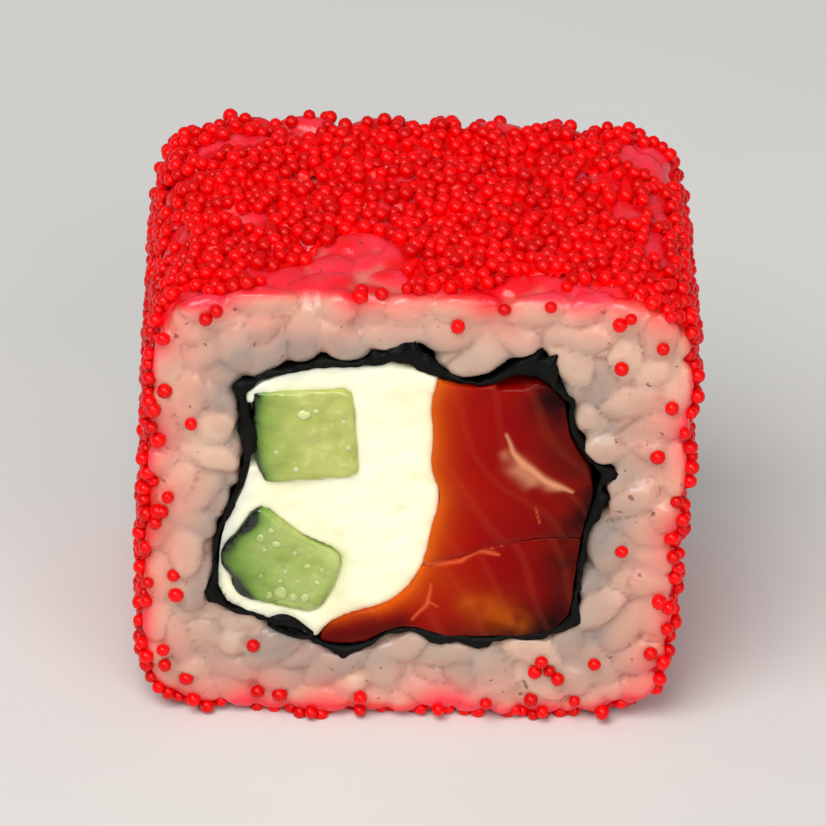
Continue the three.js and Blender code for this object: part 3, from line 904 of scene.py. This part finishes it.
# %% Scatter the coat of roe
BEAD = 1.02  # across
BEAD_SPACING = 0.775
BEAD_LIMIT = 2450  # strays and coat together, under 200,000 triangles
COAT_TRIES = 60000  # random places tested on the sheet
UNDERSIDE = 0.6  # lower than this a place is on the underside
UNDERSIDE_EDGE = 2.5  # how far in from a cut the underside keeps whole beads
PATCH_MARGIN = 0.3  # the bare patches below are this much larger each way
BARE_PATCHES = [
    # middle x, distance behind the front cut, half width, half length, on the top of the roll
    (-6.4, 1.2, 4.3, 4.4),
    (-4.2, 4.0, 2.9, 4.7),
    (2.4, 0.0, 2.6, 1.2),
    (7.4, 0.0, 3.4, 3.4),
    (12.0, 0.0, 2.6, 2.5),
    (-17.0, -1.0, 2.4, 2.6),
    (-17.8, 9.8, 1.4, 1.0),
    (-11.7, 10.3, 1.7, 0.8),
    (-17.0, 16.8, 1.9, 0.7),
    (-15.6, 19.6, 1.7, 0.7),
    (-12.3, 20.6, 1.9, 0.6),
    (-8.0, 23.0, 0.7, 0.8),
    (-8.1, 15.4, 0.9, 0.5),
    (12.3, 16.7, 1.6, 0.9),
    (14.4, 12.4, 1.0, 1.4),
    (16.3, 8.8, 0.8, 1.7),
    (16.9, 14.2, 0.9, 2.0),
    (16.4, 20.4, 2.6, 2.2),
    (4.1, 23.6, 0.9, 0.6),
]


def walk_round(count):
    """Even steps round the pressed square: the points, their outward normals and the way round."""
    turn = np.linspace(0, 2 * math.pi, 4000, endpoint=False)
    radius = coat_radius(turn, 0.0)
    x, z = FILLING_X + radius * np.cos(turn), FILLING_Z + radius * np.sin(turn)
    steps = np.hypot(np.diff(x, append=x[0]), np.diff(z, append=z[0]))
    so_far = np.concatenate([[0], np.cumsum(steps)])
    even = np.linspace(0, so_far[-1], count, endpoint=False)
    x = np.interp(even, so_far, np.append(x, x[0]))
    z = np.interp(even, so_far, np.append(z, z[0]))
    along_x = np.roll(x, -1) - np.roll(x, 1)
    along_z = np.roll(z, -1) - np.roll(z, 1)
    size = np.hypot(along_x, along_z)
    return np.stack([x, z], axis=1), np.stack([along_z / size, -along_x / size], axis=1), so_far[-1]


wall, wall_normals, ROUND = walk_round(1600)


def cover_at(points):
    """How well the coat covers a point of the outside: above 0 there is roe."""
    to_front = points[:, 1] - FRONT_CUT
    to_back = BACK_CUT - points[:, 1]
    cover = 1.05 + 0.42 * ripples(points, 3.4, 91) + 0.3 * ripples(points, 1.4, 92)
    on_top = smoothstep(MIDDLE_Z + 8, MIDDLE_Z + 14, points[:, 2])
    ragged = 0.25 + 0.5 * on_top + 0.8 * ripples(points * [1, 0.3, 1], 2.4, 93)
    cover = np.minimum(cover, (np.minimum(to_front, to_back) - ragged) * 1.2)
    for x, behind, half_x, half_y in BARE_PATCHES:
        across = (points[:, 0] - x) / (half_x + PATCH_MARGIN)
        away = np.hypot(across, (to_front - behind) / (half_y + PATCH_MARGIN))
        cover -= on_top * 2.2 * smoothstep(1.15, 0.75, away)
    underneath = smoothstep(2.0, 0.3, points[:, 2])
    return cover - 0.25 * underneath


def gap_squared(first, second):
    """The squared distance between two places on the sheet, which closes on itself round the square."""
    round_gap = abs(first[0] - second[0])
    return min(round_gap, ROUND - round_gap) ** 2 + (first[1] - second[1]) ** 2


def draw_coat(random):
    """Points of the coat with no two closer than the spacing, tested in a grid of cells round the roll."""
    cell = BEAD_SPACING
    columns = int(ROUND / cell)
    taken = {}
    kept = []
    for u, v in random.uniform([0, FRONT_CUT + 0.15], [ROUND, BACK_CUT - 0.15], (COAT_TRIES, 2)):
        column, row = int(u / ROUND * columns), int(v // cell)
        cells = [((column + i) % columns, row + j) for i in (-1, 0, 1) for j in (-1, 0, 1)]
        near = [place for key in cells for place in taken.get(key, ())]
        if all(gap_squared(place, (u, v)) > cell * cell for place in near):
            taken.setdefault((column, row), []).append((u, v))
            kept.append((u, v))
    return np.array(kept)


roe_random = np.random.default_rng(95)
coat = draw_coat(roe_random)
step = (coat[:, 0] / ROUND * len(wall)).astype(int) % len(wall)
on_wall = np.stack([wall[step, 0], coat[:, 1], wall[step, 1]], axis=1)
coat_normals = np.stack([wall_normals[step, 0], np.zeros(len(step)), wall_normals[step, 1]], axis=1)
beside_cut = np.abs(coat[:, 1] - MIDDLE_Y) > LENGTH / 2 - UNDERSIDE_EDGE
is_covered = (cover_at(on_wall) > 0) & ((on_wall[:, 2] > UNDERSIDE) | beside_cut)
on_wall, coat_normals = on_wall[is_covered], coat_normals[is_covered]
print(f"{len(coat)} places for roe, {len(on_wall)} covered")

# %% [markdown]
# The coat is more than one bead deep. Its lower layer is a single sheet of low domes, laid over the
# grains by rays that are cast at a search tree of the rice. It dives into the rice where the cover ends.

# %% Lay the lower layer of roe
BED_ROUND = 620
BED_ALONG = 104
BED_SHORT = 0.9  # the lower layer ends this far inside each cut
DOME_CELL = 0.86
DOME_RADIUS = 0.56
ground = search_tree(rice)


def domes(u, v, random):
    """Height and tone of the highest dome at each point; each cell of the sheet holds one dome."""
    columns, rows = int(ROUND / DOME_CELL), int(LENGTH / DOME_CELL) + 3
    place = random.uniform(0.12, 0.88, (columns, rows, 2))
    tone = random.uniform(0, 1, (columns, rows))
    lift = random.uniform(-0.12, 0.12, (columns, rows))
    at_u, at_v = u / ROUND * columns, (v - FRONT_CUT) / DOME_CELL + 1
    cell_u, cell_v = np.floor(at_u).astype(int), np.floor(at_v).astype(int)
    best, best_tone = np.full(u.shape, -9.0), np.zeros(u.shape)
    for i in (-1, 0, 1):
        for j in (-1, 0, 1):
            column, row = (cell_u + i) % columns, np.clip(cell_v + j, 0, rows - 1)
            to_u = at_u - cell_u - i - place[column, row, 0]
            away = np.hypot(to_u, at_v - cell_v - j - place[column, row, 1])
            dome = np.sqrt(np.maximum(DOME_RADIUS**2 - (away * DOME_CELL) ** 2, 0)) + lift[column, row]
            best_tone = np.where(dome > best, tone[column, row], best_tone)
            best = np.maximum(best, dome)
    return best, best_tone


def make_bed(random):
    """One open sheet of domes, without the faces that the cover leaves bare."""
    columns = np.linspace(0, ROUND, BED_ROUND, endpoint=False)
    rows = np.linspace(FRONT_CUT + 0.1, BACK_CUT - 0.1, BED_ALONG)
    u, v = np.meshgrid(columns, rows, indexing="ij")
    at = (u / ROUND * len(wall)).astype(int) % len(wall)
    on_wall = np.stack([wall[at, 0], v, wall[at, 1]], axis=-1).reshape(-1, 3)
    out = np.stack([wall_normals[at, 0], 0 * v, wall_normals[at, 1]], axis=-1).reshape(-1, 3)
    hits = [ground.ray_cast(Vector(p + 4 * n), Vector(-n), 9)[3] for p, n in zip(on_wall, out)]
    rise = np.array([-3.0 if h is None else 4 - h for h in hits]).reshape(u.shape)
    for _ in range(6):
        rise = (rise + np.roll(rise, 1, 0) + np.roll(rise, -1, 0) + np.hstack([rise[:, 1:], rise[:, -1:]])
                + np.hstack([rise[:, :1], rise[:, :-1]])) / 5
    dome, tone = domes(u, v, random)
    to_cut = cut_depth(v)
    cover = np.minimum(cover_at(on_wall).reshape(u.shape), (to_cut - BED_SHORT) * 0.8)
    shown = smoothstep(-0.1, 0.45, cover)
    height = rise - 0.2 + dome * shown - 0.55 * (1 - shown)
    points = on_wall + out * height.reshape(-1, 1)
    points[:, 2] = np.maximum(points[:, 2], 0.05)
    faces = band(BED_ROUND, BED_ALONG).reshape(BED_ROUND, BED_ALONG, 4)[:, :-1].reshape(-1, 4)
    faces = faces[cover.ravel()[faces].min(axis=1) > -0.1]
    bed = make_piece("roe_bed", points, faces)
    paint(bed, "tone", tone.ravel())
    return bed


bed = make_bed(roe_random)
print(f"lower layer of roe: {len(bed.data.polygons)} faces")

# %% [markdown]
# A bead dropped on rice sinks in a little: its middle stays six tenths of its radius above the face that
# its ray meets. Some beads stray to the cuts, as the knife drags them along. Those that show most are
# listed one by one.

# %% Drop the roe on the rice
STRAY_FRONT = [
    # x, z on the front cut
    (-4.3, 34.4), (5.4, 34.1), (8.5, 34.4), (-14.6, 33.0), (-13.9, 33.6), (13.5, 29.8),
    (-10.8, 6.1), (13.0, 5.3), (9.3, 5.5), (9.9, 4.6), (8.9, 4.4), (10.5, 4.1),
    (18.1, 24.8), (18.3, 23.9), (17.9, 15.2), (18.0, 14.3), (17.9, 10.2), (-17.6, 17.2),
    (-10.4, 2.1), (-3.2, 1.9), (5.6, 1.7), (11.8, 1.9), (16.2, 31.6), (-16.9, 4.2),
]
STRAY_TRIES = 9000  # random places tested on each cut
DROP_FROM = 5  # each bead starts this far outside
BEAD_LIFT = 0.3  # the share of its width by which a bead's middle stays above the rice
BEAD_FOOT = 0.03  # no bead reaches lower than this


def drop(start, direction, size):
    """The middle of a bead of this size that comes from start and lands on the rice, if it does."""
    hit = ground.ray_cast(Vector(start), Vector(direction), 12)
    return None if hit[0] is None else np.array(hit[0]) - np.array(direction) * size * BEAD_LIFT


def stray_places(random, cut):
    """Places on a cut: clusters beside the coat and hardly any further in, none closer than a bead."""
    at = random.uniform([-20, cut, 0.4], [20, cut, HEIGHT], (STRAY_TRIES, 3))
    depth = coat_depth(at[:, 0], at[:, 2])
    by_coat = 0.5 * np.exp(-np.maximum(depth - 0.7, 0) / 0.55)
    chance = by_coat * smoothstep(0.1, 1.0, ripples(at, 2.6, 98)) + 0.0006
    wanted = (depth > 0.6) & (hole_depth(*at.T) > 1) & (random.uniform(size=STRAY_TRIES) < chance)
    kept = []
    for x, _, z in at[wanted]:
        if all(math.hypot(x - p[0], z - p[1]) > 0.8 * BEAD for p in kept):
            kept.append((x, z))
    return kept


def place_beads():
    """The strays first and then the coat, in its random order, up to the limit."""
    in_front = STRAY_FRONT + stray_places(roe_random, FRONT_CUT)
    drops = [((x, FRONT_CUT - DROP_FROM, z), (0, 1, 0)) for x, z in in_front]
    drops += [((x, BACK_CUT + DROP_FROM, z), (0, -1, 0)) for x, z in stray_places(roe_random, BACK_CUT)]
    print(len(drops), "strays on the cuts")
    drops += [(at + normal * DROP_FROM, -normal) for at, normal in zip(on_wall, coat_normals)]
    sizes = BEAD * roe_random.uniform(0.84, 1.12, len(drops))
    middles = [drop(start, direction, size) for (start, direction), size in zip(drops, sizes)]
    landed = [i for i, middle in enumerate(middles) if middle is not None][:BEAD_LIMIT]
    return np.array([middles[i] for i in landed]), sizes[landed]


bead_middles, bead_sizes = place_beads()
bead, bead_faces = sphere_points(2)
turned = roe_random.uniform(0.94, 1.06, (len(bead_middles), 1, 3))
roe_points = bead_middles[:, None] + bead[None] * turned * (bead_sizes / 2)[:, None, None]
roe_points[..., 2] = np.maximum(roe_points[..., 2], BEAD_FOOT)
roe_faces = bead_faces[None] + (np.arange(len(bead_middles)) * len(bead))[:, None, None]
roe = make_piece("roe_beads", roe_points.reshape(-1, 3), roe_faces.reshape(-1, 3))
paint(roe, "tone", np.repeat(roe_random.uniform(0, 1, len(bead_middles)), len(bead)))
print(f"roe: {len(bead_middles)} beads, {roe_faces.size // 3} triangles")

# %% [markdown]
# The roe's juice stains the rice. How much depends on how deep a point lies under the coat, and whether
# the coat covers that spot. The numbers go on the mesh, together with one tone for each grain and the
# borders between two grains, which are found by asking which two seeds are nearest. Along the borders
# the material paints shade, which stands for the creases between grains.

# %% Paint stain, tone and borders on the rice


def two_nearest(points):
    """The nearest seed of each point, and how much farther the second nearest is."""
    owner, margin = np.empty(len(points), int), np.empty(len(points))
    for part, squares in squares_to_seeds(points, seeds, measures):
        away = np.sqrt(np.maximum(squares, 0))
        owner[part] = away.argmin(axis=1)
        first_two = np.partition(away, 1, axis=1)[:, :2]
        margin[part] = first_two[:, 1] - first_two[:, 0]
    return owner, margin


def paint_rice(piece, points, tone, gap):
    """Stores what the rice's material reads: stain, depth, tone, and the borders where it paints crease
    shade.
    """
    depth = coat_depth(points[:, 0], points[:, 2])
    soaked = smoothstep(-0.2, 0.5, cover_at(points)) * smoothstep(2.0, 0.4, depth)
    to_cut = cut_depth(points[:, 1])
    fresh = smoothstep(1.5, 0.3, to_cut) * smoothstep(0.9, 1.6, depth)
    pink = np.exp(-(np.maximum(depth - 0.95, 0) / 1.35)) * (1 + 0.6 * ripples(points, 2.4, 97))
    pink *= 1 - 0.2 * fresh
    by_nori = smoothstep(3.4, 0.4, hole_depth(*points.T) + 0.5 * ripples(points, 2.0, 99))
    low_down = smoothstep(8, 3, points[:, 2])
    paint(piece, "soaked", soaked)
    pink = np.maximum(pink, smoothstep(2.1, 1.3, depth) * (1 - 0.8 * fresh))
    paint(piece, "pink", np.clip(pink, 0, 1))
    paint(piece, "depth", np.clip(0.5 * depth / 5 + 0.55 * by_nori + 0.3 * low_down, 0, 1))
    paint(piece, "tone", tone)
    paint(piece, "border", gap)


owner, margin = two_nearest(rice_points)
grain_tone = rice_random.uniform(0, 1, len(seeds))[owner] ** 1.5
# The borders between grains, where the material paints shade for the creases
border = smoothstep(0.13, 0.0, margin) * np.clip(0.55 + 0.6 * ripples(rice_points, 3.0, 101), 0.1, 1)
paint_rice(rice, rice_points, grain_tone, border)

# %% [markdown]
# Materials come next. Three effects are used by several of them, so each is a node group with named
# sockets, built once: cloudy mottling for uneven colour, a fine wet relief for the bump, and streaks for
# what a knife leaves. A group only hands out masks and heights, and the shader itself stays in the
# material.

# %% Build the shared node groups


def new_group(name, inputs, outputs):
    group = bpy.data.node_groups.new(name, "ShaderNodeTree")
    for label, default in inputs:
        socket = group.interface.new_socket(label, in_out="INPUT", socket_type="NodeSocketFloat")
        socket.default_value = default
    for label in outputs:
        group.interface.new_socket(label, in_out="OUTPUT", socket_type="NodeSocketFloat")
    return group, group.nodes.new("NodeGroupInput"), group.nodes.new("NodeGroupOutput")


def add_math(tree, operation, first, second):
    node = tree.nodes.new("ShaderNodeMath")
    node.operation = operation
    for socket, value in zip(node.inputs, (first, second)):
        if isinstance(value, (int, float)):
            socket.default_value = value
        else:
            tree.links.new(value, socket)
    return node.outputs[0]


def object_noise(tree, size, detail, stretch=(1, 1, 1)):
    """A noise texture in the object's own space, with blobs about size millimetres across."""
    place = tree.nodes.new("ShaderNodeTexCoord")
    mapping = tree.nodes.new("ShaderNodeMapping")
    mapping.inputs["Scale"].default_value = stretch
    noise = tree.nodes.new("ShaderNodeTexNoise")
    noise.inputs["Detail"].default_value = detail
    tree.links.new(place.outputs["Object"], mapping.inputs["Vector"])
    tree.links.new(mapping.outputs["Vector"], noise.inputs["Vector"])
    tree.links.new(add_math(tree, "DIVIDE", 500, size), noise.inputs["Scale"])
    return noise.outputs["Fac"]


def make_mottle():
    tree, given, result = new_group("cloudy mottle", [("Size", 3.0), ("Low", 0.35), ("High", 0.65)], ["Mask"])
    ramp = tree.nodes.new("ShaderNodeMapRange")
    ramp.interpolation_type = "SMOOTHSTEP"
    tree.links.new(object_noise(tree, given.outputs["Size"], 3), ramp.inputs["Value"])
    tree.links.new(given.outputs["Low"], ramp.inputs["From Min"])
    tree.links.new(given.outputs["High"], ramp.inputs["From Max"])
    tree.links.new(ramp.outputs["Result"], result.inputs["Mask"])
    return tree


def make_relief():
    tree, given, result = new_group("fine wet relief", [("Size", 0.6), ("Roughness", 0.5)], ["Height"])
    coarse = object_noise(tree, given.outputs["Size"], 2)
    fine = object_noise(tree, add_math(tree, "MULTIPLY", given.outputs["Size"], 0.3), 4)
    mixed = add_math(tree, "ADD", coarse, add_math(tree, "MULTIPLY", fine, given.outputs["Roughness"]))
    tree.links.new(mixed, result.inputs["Height"])
    return tree


def make_streaks():
    tree, given, result = new_group("knife streaks", [("Size", 0.8)], ["Height"])
    tree.links.new(object_noise(tree, given.outputs["Size"], 4, (1.0, 0.3, 0.16)), result.inputs["Height"])
    return tree


mottle_group = make_mottle()
relief_group = make_relief()
streak_group = make_streaks()
print("node groups:", [g.name for g in (mottle_group, relief_group, streak_group)])

# %% [markdown]
# Every material starts from the Principled shader, and what is the same all over goes straight on its own
# sockets. The helpers below read a painted number, mix two colours and turn a height into a bump, so that
# each finish further down reads like a recipe: a base colour first, and then one tint after another on
# top.

# %% Helpers for the materials


def new_material(
    name, roughness, specular=0.5, coat=0.0, subsurface=0.0, radius=(1, 0.5, 0.3), subsurface_mm=1.0
):
    """A material with its constant values set, its node tree and its shader."""
    material = bpy.data.materials.new(name)
    material.use_nodes = True
    tree = material.node_tree
    shader = tree.nodes["Principled BSDF"]
    shader.inputs["Roughness"].default_value = roughness
    shader.inputs["Coat Weight"].default_value = coat
    shader.inputs["Coat Roughness"].default_value = 0.1
    shader.inputs["Specular IOR Level"].default_value = specular
    shader.inputs["Subsurface Weight"].default_value = subsurface
    shader.inputs["Subsurface Radius"].default_value = radius
    shader.inputs["Subsurface Scale"].default_value = subsurface_mm * MM
    return material, tree, shader


def place_group(tree, group, **values):
    """The output of a shared group with this material's own values."""
    node = tree.nodes.new("ShaderNodeGroup")
    node.node_tree = group
    for label, value in values.items():
        node.inputs[label].default_value = value
    return node.outputs[0]


def painted(tree, name):
    """The number that paint() stored under this name."""
    node = tree.nodes.new("ShaderNodeAttribute")
    node.attribute_name = name
    return node.outputs["Fac"]


def linear(red, green, blue):
    """An sRGB colour of 0 to 255, as seen, in the linear numbers that a shader works with."""
    parts = [c / 255 for c in (red, green, blue)]
    return tuple(c / 12.92 if c <= 0.04045 else ((c + 0.055) / 1.055) ** 2.4 for c in parts) + (1.0,)


def mix(tree, share, first, second, blend="MIX"):
    """Mixes two colours, each a colour or the output of a node, by a share from a node or a number."""
    node = tree.nodes.new("ShaderNodeMix")
    node.data_type = "RGBA"
    node.blend_type = blend
    node.clamp_factor = True
    for socket, value in ((node.inputs[0], share), (node.inputs[6], first), (node.inputs[7], second)):
        if isinstance(value, bpy.types.NodeSocket):
            tree.links.new(value, socket)
        else:
            socket.default_value = value
    return node.outputs[2]


def tint(tree, below, mask, share, colour):
    """Lays a colour over another where the mask is, and no more than this share of it."""
    return mix(tree, add_math(tree, "MULTIPLY", mask, share), below, colour)


def add_bump(tree, shader, height, depth_mm):
    node = tree.nodes.new("ShaderNodeBump")
    node.inputs["Distance"].default_value = depth_mm * MM
    tree.links.new(height, node.inputs["Height"])
    tree.links.new(node.outputs["Normal"], shader.inputs["Normal"])


def dress(piece, material, slot, *replaced):
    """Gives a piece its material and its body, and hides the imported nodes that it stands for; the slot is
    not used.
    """
    piece.data.materials.clear()
    piece.data.materials.append(material)
    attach(piece, "root")
    if replaced:
        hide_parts(*replaced)


# %% [markdown]
# Cooked sushi rice is translucent, glossy with vinegar, peach to grey inside the roll and pink to red
# where the roe has stained it. Subsurface scattering gives the milky depth.

# %% Finish the rice


def rice_finish():
    material, tree, shader = new_material("moist rice", 0.3, 0.45, 0.2, 0.7, (1.0, 0.6, 0.45), 1.2)
    inside = mix(tree, painted(tree, "depth"), linear(228, 172, 146), linear(158, 142, 132))
    inside = tint(tree, inside, painted(tree, "tone"), 0.75, linear(226, 192, 166))
    cloudy = place_group(tree, mottle_group, Size=1.1, Low=0.4, High=0.66)
    inside = tint(tree, inside, cloudy, 0.35, linear(196, 150, 128))
    rosy = place_group(tree, mottle_group, Size=2.2, Low=0.35, High=0.65)
    stain = mix(tree, rosy, linear(238, 6, 22), linear(246, 52, 74))
    tinted = mix(tree, painted(tree, "pink"), inside, stain)
    soaked = mix(tree, painted(tree, "soaked"), tinted, linear(228, 4, 8))
    # Painted shade: small dark specks, scattered at random, for the shadows of tiny gaps between grains
    gap_shade_specks = place_group(tree, mottle_group, Size=0.4, Low=0.68, High=0.72)
    gap_shaded = tint(tree, soaked, gap_shade_specks, 0.75, linear(116, 62, 44))
    # Painted shade: the rice darkens along the borders between grains, for the creases
    border = add_math(tree, "MULTIPLY", painted(tree, "border"), 0.5)
    crease_shaded = mix(tree, border, gap_shaded, linear(176, 128, 106), "MULTIPLY")
    tree.links.new(crease_shaded, shader.inputs["Base Color"])
    add_bump(tree, shader, place_group(tree, relief_group, Size=0.7, Roughness=0.35), 0.12)
    return material


dress(rice, rice_finish(), "rice", "rice_and_roe")

# %% [markdown]
# Each bead of roe is a skin full of red juice: saturated, shiny, and lit from within.

# %% Finish the roe


def roe_finish():
    material, tree, shader = new_material("red roe", 0.26, 0.22, 0.0, 0.2, (1.0, 0.05, 0.03), 0.7)
    colour = mix(tree, painted(tree, "tone"), linear(206, 0, 0), linear(250, 0, 3))
    tree.links.new(colour, shader.inputs["Base Color"])
    add_bump(tree, shader, place_group(tree, relief_group, Size=0.35, Roughness=0.3), 0.02)
    return material


roe_material = roe_finish()
dress(roe, roe_material, "roe")
dress(bed, roe_material, "roe")

# %% [markdown]
# Cream cheese is a dense white that lets light in a little way. The distances painted on it tint it: a
# cooler white where it lies thin over the nori, green beside the cucumber and orange beside the oily
# salmon. The shared streaks give it the faint relief of the knife.

# %% Finish the cream cheese


def cheese_finish():
    material, tree, shader = new_material("cream cheese", 0.42, 0.4, 0.05, 0.25, (1.0, 0.9, 0.6), 1.2)
    cloudy = place_group(tree, mottle_group, Size=3.0, Low=0.35, High=0.75)
    colour = mix(tree, cloudy, linear(254, 251, 216), linear(248, 242, 200))
    colour = tint(tree, colour, painted(tree, "thin"), 0.7, linear(236, 238, 222))
    colour = tint(tree, colour, painted(tree, "green"), 0.75, linear(196, 206, 124))
    colour = tint(tree, colour, painted(tree, "oiled"), 0.6, linear(246, 206, 150))
    tree.links.new(colour, shader.inputs["Base Color"])
    add_bump(tree, shader, place_group(tree, streak_group, Size=0.9), 0.06)
    return material


dress(cheese, cheese_finish(), "cream_cheese", "cream_cheese")

# %% [markdown]
# Cucumber flesh is pale yellow-green and watery, with darker green towards the skin.

# %% Finish the cucumber
RIND_SHARPNESS = 7  # the higher, the closer the dark rind keeps to the skin's line


def cucumber_finish(name, flesh, deep, wetness, roughness=0.2, coat=0.3):
    material, tree, shader = new_material(name, roughness, 0.4, coat, 0.25, (0.7, 1.0, 0.35), 1.0)
    cloudy = place_group(tree, mottle_group, Size=1.2, Low=0.35, High=0.7)
    colour = mix(tree, cloudy, flesh, deep)
    cells = place_group(tree, mottle_group, Size=0.35, Low=0.5, High=0.72)
    colour = tint(tree, colour, cells, 0.3, linear(214, 218, 146))
    colour = mix(tree, painted(tree, "skin"), colour, linear(88, 138, 0))
    rind = add_math(tree, "POWER", painted(tree, "skin"), RIND_SHARPNESS)
    colour = mix(tree, rind, colour, linear(12, 26, 3))
    tree.links.new(colour, shader.inputs["Base Color"])
    drops = place_group(tree, mottle_group, Size=0.55, Low=0.56, High=0.76)
    wet = add_math(tree, "ADD", place_group(tree, relief_group, Size=0.6, Roughness=0.4), drops)
    add_bump(tree, shader, wet, wetness)
    return material


upper_flesh = cucumber_finish("peeled cucumber", linear(188, 192, 104), linear(170, 176, 82), 0.05)
lower_flesh = cucumber_finish("cucumber with skin", linear(182, 194, 112), linear(158, 174, 82), 0.1)
dress(upper_cucumber, upper_flesh, "cucumber", "cucumber_upper")
dress(lower_cucumber, lower_flesh, "cucumber", "cucumber_lower")

# %% [markdown]
# A flat drop of juice shows the flesh below it and only adds a sharp highlight, so it gets the cucumber's
# own finish with a smooth clear coat and hardly any relief, painted a little paler as a sheen.

# %% Finish the drops of juice
JUICE_RELIEF = 0.004
# Painted sheen: the drops are a little paler than the flesh below them
pale, deep = linear(206, 214, 140), linear(190, 200, 120)
juice_material = cucumber_finish("clear juice", pale, deep, JUICE_RELIEF, roughness=0.05, coat=1.0)
dress(juice, juice_material, "cucumber")

# %% [markdown]
# Cured salmon is deep red and darker where it is thicker, away from the cheese, and painted shade beside
# the nori takes it nearly to black-red. It is orange at its thin rim, with pale sinews.

# %% Finish the salmon


def salmon_finish():
    material, tree, shader = new_material("dark red salmon", 0.24, 0.05, 0.04, 0.06, (1.0, 0.2, 0.08), 0.8)
    # Darker where the flesh is thicker, and painted shade beside the nori takes it nearly to black-red
    flesh = mix(tree, painted(tree, "thick_and_shaded"), linear(160, 2, 0), linear(26, 0, 2))
    cloudy = place_group(tree, mottle_group, Size=2.4, Low=0.4, High=0.68)
    flesh = tint(tree, flesh, cloudy, 0.3, linear(156, 22, 0))
    flesh = tint(tree, flesh, painted(tree, "flakes"), 0.07, linear(196, 84, 52))
    flesh = tint(tree, flesh, painted(tree, "warm"), 0.65, linear(190, 84, 4))
    flesh = mix(tree, painted(tree, "rim"), flesh, linear(206, 84, 8))
    # Painted shade: the tip beside the nori darkens to a deep red
    flesh = tint(tree, flesh, painted(tree, "tip"), 0.85, linear(70, 4, 2))
    flesh = tint(tree, flesh, painted(tree, "fine"), 0.75, linear(226, 96, 48))
    flesh = tint(tree, flesh, painted(tree, "sinew"), 0.85, linear(222, 150, 110))
    tree.links.new(flesh, shader.inputs["Base Color"])
    add_bump(tree, shader, place_group(tree, streak_group, Size=0.7), 0.08)
    return material


salmon_material = salmon_finish()
dress(upper_salmon, salmon_material, "salmon", "salmon_upper")
dress(lower_salmon, salmon_material, "salmon", "salmon_lower")

# %% [markdown]
# Damp nori is nearly black, with a trace of green and little shine. Colour says hardly anything here, so
# what shows is its relief: the crinkles are in the mesh, and a rough bump stands for the fine fibres of
# the sheet.

# %% Finish the nori


def nori_finish():
    material, tree, shader = new_material("damp nori", 0.5, 0.12)
    cloudy = place_group(tree, mottle_group, Size=1.2, Low=0.35, High=0.7)
    tree.links.new(mix(tree, cloudy, linear(3, 4, 3), linear(9, 12, 7)), shader.inputs["Base Color"])
    add_bump(tree, shader, place_group(tree, relief_group, Size=0.5, Roughness=0.8), 0.12)
    return material


dress(nori, nori_finish(), "nori", "nori")

# %% [markdown]
# The piece stands on a plain pale floor under two large soft lamps, and the camera looks at it from the
# photograph's angle: nearly along the roll's axis, 33 degrees above it and rolled by a few degrees.

# %% Set the floor, the light and the camera
CAMERA_AZIMUTH = math.radians(-2)
CAMERA_ELEVATION = math.radians(33)
CAMERA_ROLL = math.radians(2.6)
CAMERA_DISTANCE = 0.412
FIELD = 0.058  # how wide the view is at the piece
FLOOR_SIZE = 2.0
SENSOR_WIDTH = 36  # millimetres, as in a full-frame camera
NEAR_CLIP = 0.01


def make_floor():
    half = FLOOR_SIZE / MM / 2
    corners = np.array([[-half, -half, 0], [half, -half, 0], [half, half, 0], [-half, half, 0]])
    floor = make_piece("floor", corners, np.array([[0, 1, 2, 3]]))
    material, tree, shader = new_material("pale floor", 0.6)
    cloudy = place_group(tree, mottle_group, Size=40.0, Low=0.3, High=0.7)
    colour = mix(tree, cloudy, linear(228, 226, 222), linear(222, 220, 216))
    tree.links.new(colour, shader.inputs["Base Color"])
    floor.data.materials.append(material)


def look_from(azimuth, elevation):
    """The direction from the piece to a camera or lamp."""
    level = math.cos(elevation)
    return Vector((math.sin(azimuth) * level, -math.cos(azimuth) * level, math.sin(elevation)))


def add_lamp(name, azimuth, elevation, distance, size, watts):
    data = bpy.data.lights.new(name, "AREA")
    data.shape = "DISK"
    data.size = size
    data.energy = watts
    lamp = bpy.data.objects.new(name, data)
    bpy.context.scene.collection.objects.link(lamp)
    direction = look_from(math.radians(azimuth), math.radians(elevation))
    lamp.location = direction * distance
    lamp.rotation_euler = (-direction).to_track_quat("-Z", "Y").to_euler()


def add_camera():
    camera = bpy.data.objects.new("camera", bpy.data.cameras.new("camera"))
    bpy.context.scene.collection.objects.link(camera)
    back = look_from(CAMERA_AZIMUTH, CAMERA_ELEVATION)
    camera.location = Vector((MIDDLE_X * MM, 0, HEIGHT / 2 * MM)) + back * CAMERA_DISTANCE
    level = (-back).to_track_quat("-Z", "Y")
    camera.rotation_euler = (level @ Quaternion((0, 0, 1), CAMERA_ROLL)).to_euler()
    camera.data.sensor_width = SENSOR_WIDTH
    camera.data.lens = SENSOR_WIDTH * CAMERA_DISTANCE / FIELD
    camera.data.clip_start = NEAR_CLIP
    bpy.context.scene.camera = camera


make_floor()
add_lamp("large lamp above", azimuth=-30, elevation=56, distance=0.7, size=0.5, watts=3.9)
add_lamp("soft fill in front", azimuth=22, elevation=30, distance=0.8, size=0.6, watts=2.3)
world = bpy.data.worlds.new("studio")
world.use_nodes = True
world.node_tree.nodes["Background"].inputs["Color"].default_value = (0.95, 0.97, 1.0, 1.0)
world.node_tree.nodes["Background"].inputs["Strength"].default_value = 0.25
bpy.context.scene.world = world
add_camera()
bpy.context.scene.view_settings.view_transform = "Standard"
